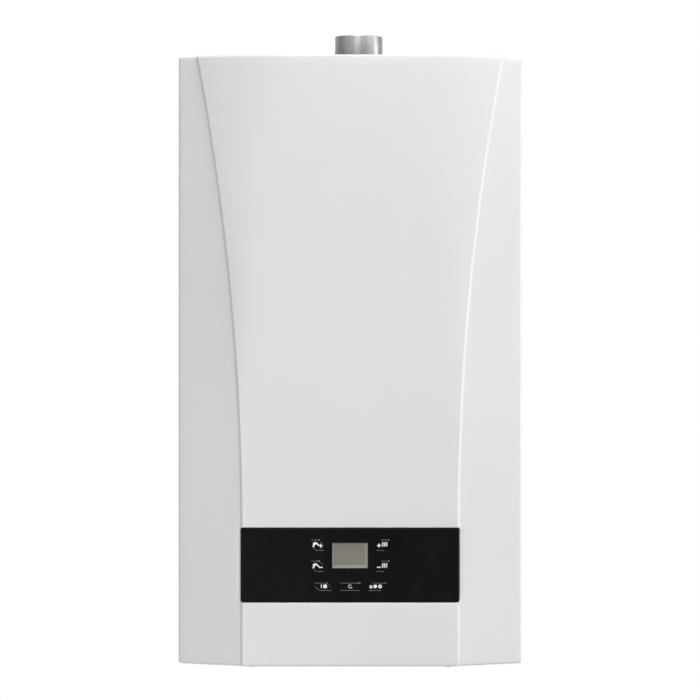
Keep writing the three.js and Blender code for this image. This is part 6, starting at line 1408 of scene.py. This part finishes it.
ribs = [(radius, 9 + 6 * i + rise) for i in range(MOTOR_RIBS)
        for radius, rise in ((34, 0), (34, 2.6), (36.5, 3), (37, 3.6), (37, 5), (36.5, 5.6))]
motor = Fitting("pump_motor_body")
motor.turned((PUMP_X, TAIL_DEPTH + 18.3, PUMP_HEIGHT), AHEAD, [
    (5, 16), (5, 0.2), (38, 0), (38, 7), (37.4, 8), *ribs, (34, 63), (33.4, 68), (31.6, 71.4), (30, 73),
    (12, 73),
    (10, 72.4), (8, 73), (8, 75.6), (7.4, 76), (0, 76)], 56)
motor.pulled(soft_box(PUMP_X - 28, PUMP_HEIGHT + 20, PUMP_X + 28, PUMP_HEIGHT + 46, 4), TAIL_DEPTH + 30.3, 40)
motor.fitted(grey_moulding, "pump_motor", edge=0.5, angle=50)
Fitting("air_vent_turned").turned((PUMP_X, TAIL_DEPTH, PUMP_HEIGHT + 48.3), UP, [
    (0, 0), (8, 0), (8, 4), (12.4, 6.6), (13, 7.6), (13, 24.6), (12.4, 25.6), (10, 28), (5, 28), (5, 33.6),
    (4.6, 34), (3, 36), (0, 36)], 32).fitted(cast_brass, "air_vent")

# ---------------------------------------------------------------- pipes
# Bent copper pipes from the heat exchanger down to the flow group and the pump, and a thin one from the
# vessel to the return group. They enter their ports without nuts, as soldered pipes do.

for node, radius, bend, sides, route in (
        ("flow_pipe", 9, 14, 20, [
            (-128.9, 128.4, 440.9), (-152, 128.4, 440.9), (-152, 128.4, 380.9), (-152, 174, 335.9),
            (-152, 174, 231), (-97.5, 95, 209), (-97.5, 95, 118.3)]),
        ("return_pipe", 9, 9, 20, [
            (128.9, 219.6, 440.9), (152, 219.6, 440.9), (152, 219.6, 380.9), (152, 174, 335.9),
            (152, 174, 247), (156, 95, 234), (156, 95, 212.3)]),
        ("vessel_pipe", 5, 10, 16, [(60, 46, 289.7), (60, 46, 150), (60, 95, 150), (60, 95, 100.3)])):
    Fitting(node + "_bent").pipe(route, radius, bend, sides).fitted(bright_copper, node)

# ---------------------------------------------------------------- pressure gauge
# A round gauge pushed up through the tray, read from below: a pale dial with a plain scale under a
# clear glass, and a red needle.

GAUGE_X, GAUGE_DEPTH, GAUGE_FACE = 95, 206, 24
gauge_place = (GAUGE_X, GAUGE_DEPTH, GAUGE_FACE)

dial_card = Finish("dial_card", "white_plastic", (80, 2, grey(0.72), grey(0.78)), 0.55)
dark_ink = Finish("dial_print", "black_plastic", (500, 2, grey(0.01), grey(0.02)), 0.5)


def dial_marks():
    """Lines of the scale, set round the dial over 260 degrees."""
    tree = PieceTree("pressure_gauge_scale", Count=27, Radius=15.6 * MM, Length=2.4 * MM, Width=0.45 * MM)
    size = tree.inputs
    arc = tree.node("GeometryNodeCurveArc", settings={"mode": "RADIUS"}, Resolution=size["Count"],
                    Radius=size["Radius"], Start_Angle=math.radians(-40), Sweep_Angle=math.radians(260))
    dots = tree.node("GeometryNodeCurveToPoints", settings={"mode": "COUNT"}, Curve=arc, Count=size["Count"])
    mark = tree.node("GeometryNodeMeshCube", Size=tree.vector(size["Width"], size["Length"], 0.08 * MM))
    spread = tree.node("GeometryNodeInstanceOnPoints", dots, Instance=mark, Rotation=dots.outputs["Rotation"])
    middle = (GAUGE_X * MM, -GAUGE_DEPTH * MM, BASE + (GAUGE_FACE + 5.58) * MM)
    settled(tree.baked(tree.node("GeometryNodeTransform", spread, Translation=middle)), dark_ink)


Fitting("pressure_gauge_case").turned(gauge_place, UP, [
    (4.5, 5), (4.5, 5.8), (18, 5.8), (18, 0.4), (18.4, 0), (22, 0), (23, 1), (23, 7), (22.4, 7.7), (20, 7.7),
    (20, 27), (19, 28.4), (10, 31), (0, 31)], 56).fitted(black_moulding, "pressure_gauge")
Fitting("pressure_gauge_dial").turned(gauge_place, UP, [
    (3, 5.6), (17.9, 5.6), (17.9, 5.75), (3, 5.75), (3, 5.6)], 56, ring=True).fitted(dial_card)
dial_marks()
bevelled("gauge_needle", red_moulding, 0.15, "dial_needle")
Fitting("gauge_glass_lens").turned(gauge_place, UP, [
    (0, 0.4), (16.6, 0.4), (17.6, 1), (17.6, 2), (0, 2)], 56).fitted(heat_glass, "gauge_glass")

# ---------------------------------------------------------------- gas line
# The gas tail rises through the tray to the valve, a die casting with its coils, and a steel pipe
# goes on from it to the burner's manifold.

GAS_DEPTH = 152
VALVE_LOW, VALVE_HIGH = 98, 190

gas_lower = Fitting("gas_pipe_lower_bent")
tail(gas_lower, 0, 13, 41)
gas_lower.pipe([(0, TAIL_DEPTH, 41.8), (0, TAIL_DEPTH, 70), (0, GAS_DEPTH, 70), (0, GAS_DEPTH, 97.7)], 8, 12)
gas_lower.fitted(zinc_steel, "gas_pipe_lower")
Fitting("gas_pipe_upper_bent").pipe([
    (0, GAS_DEPTH, 190.3), (0, GAS_DEPTH, 263.5), (0, 241, 263.5), (0, 241, 271.7)],
    6.5, 7).fitted(zinc_steel, "gas_pipe_upper")

gas_valve = Fitting("gas_valve_casting")
gas_valve.pulled(soft_box(-30, VALVE_LOW + 12, 30, VALVE_HIGH - 12, 8), GAS_DEPTH - 24, 46)
for low, high in ((VALVE_LOW, VALVE_LOW + 16), (VALVE_HIGH - 16, VALVE_HIGH)):
    gas_valve.turned((0, GAS_DEPTH, 0), UP, [(0, low), (13, low), (13, high), (0, high)], 6)
gas_valve.fitted(cast_aluminium, "gas_valve", edge=0.8)
coils = Fitting("gas_valve_coils")
coils.turned((28, GAS_DEPTH, VALVE_LOW + 34), RIGHT, [(0, 0), (15, 0), (15, 22), (13, 24), (0, 24)], 32)
coils.pulled(soft_box(-20, VALVE_LOW + 18, 14, VALVE_LOW + 52, 4), GAS_DEPTH + 20, 24)
coils.turned((2, GAS_DEPTH + 20, VALVE_HIGH - 26), AHEAD, [(0, 0), (11, 0), (11, 13), (10, 14), (0, 14)], 32)
coils.turned((2, GAS_DEPTH + 32, VALVE_HIGH - 26), AHEAD, [(0, 0), (7, 0), (7, 6), (0, 6)], 6)
coils.fitted(black_moulding, edge=0.6)
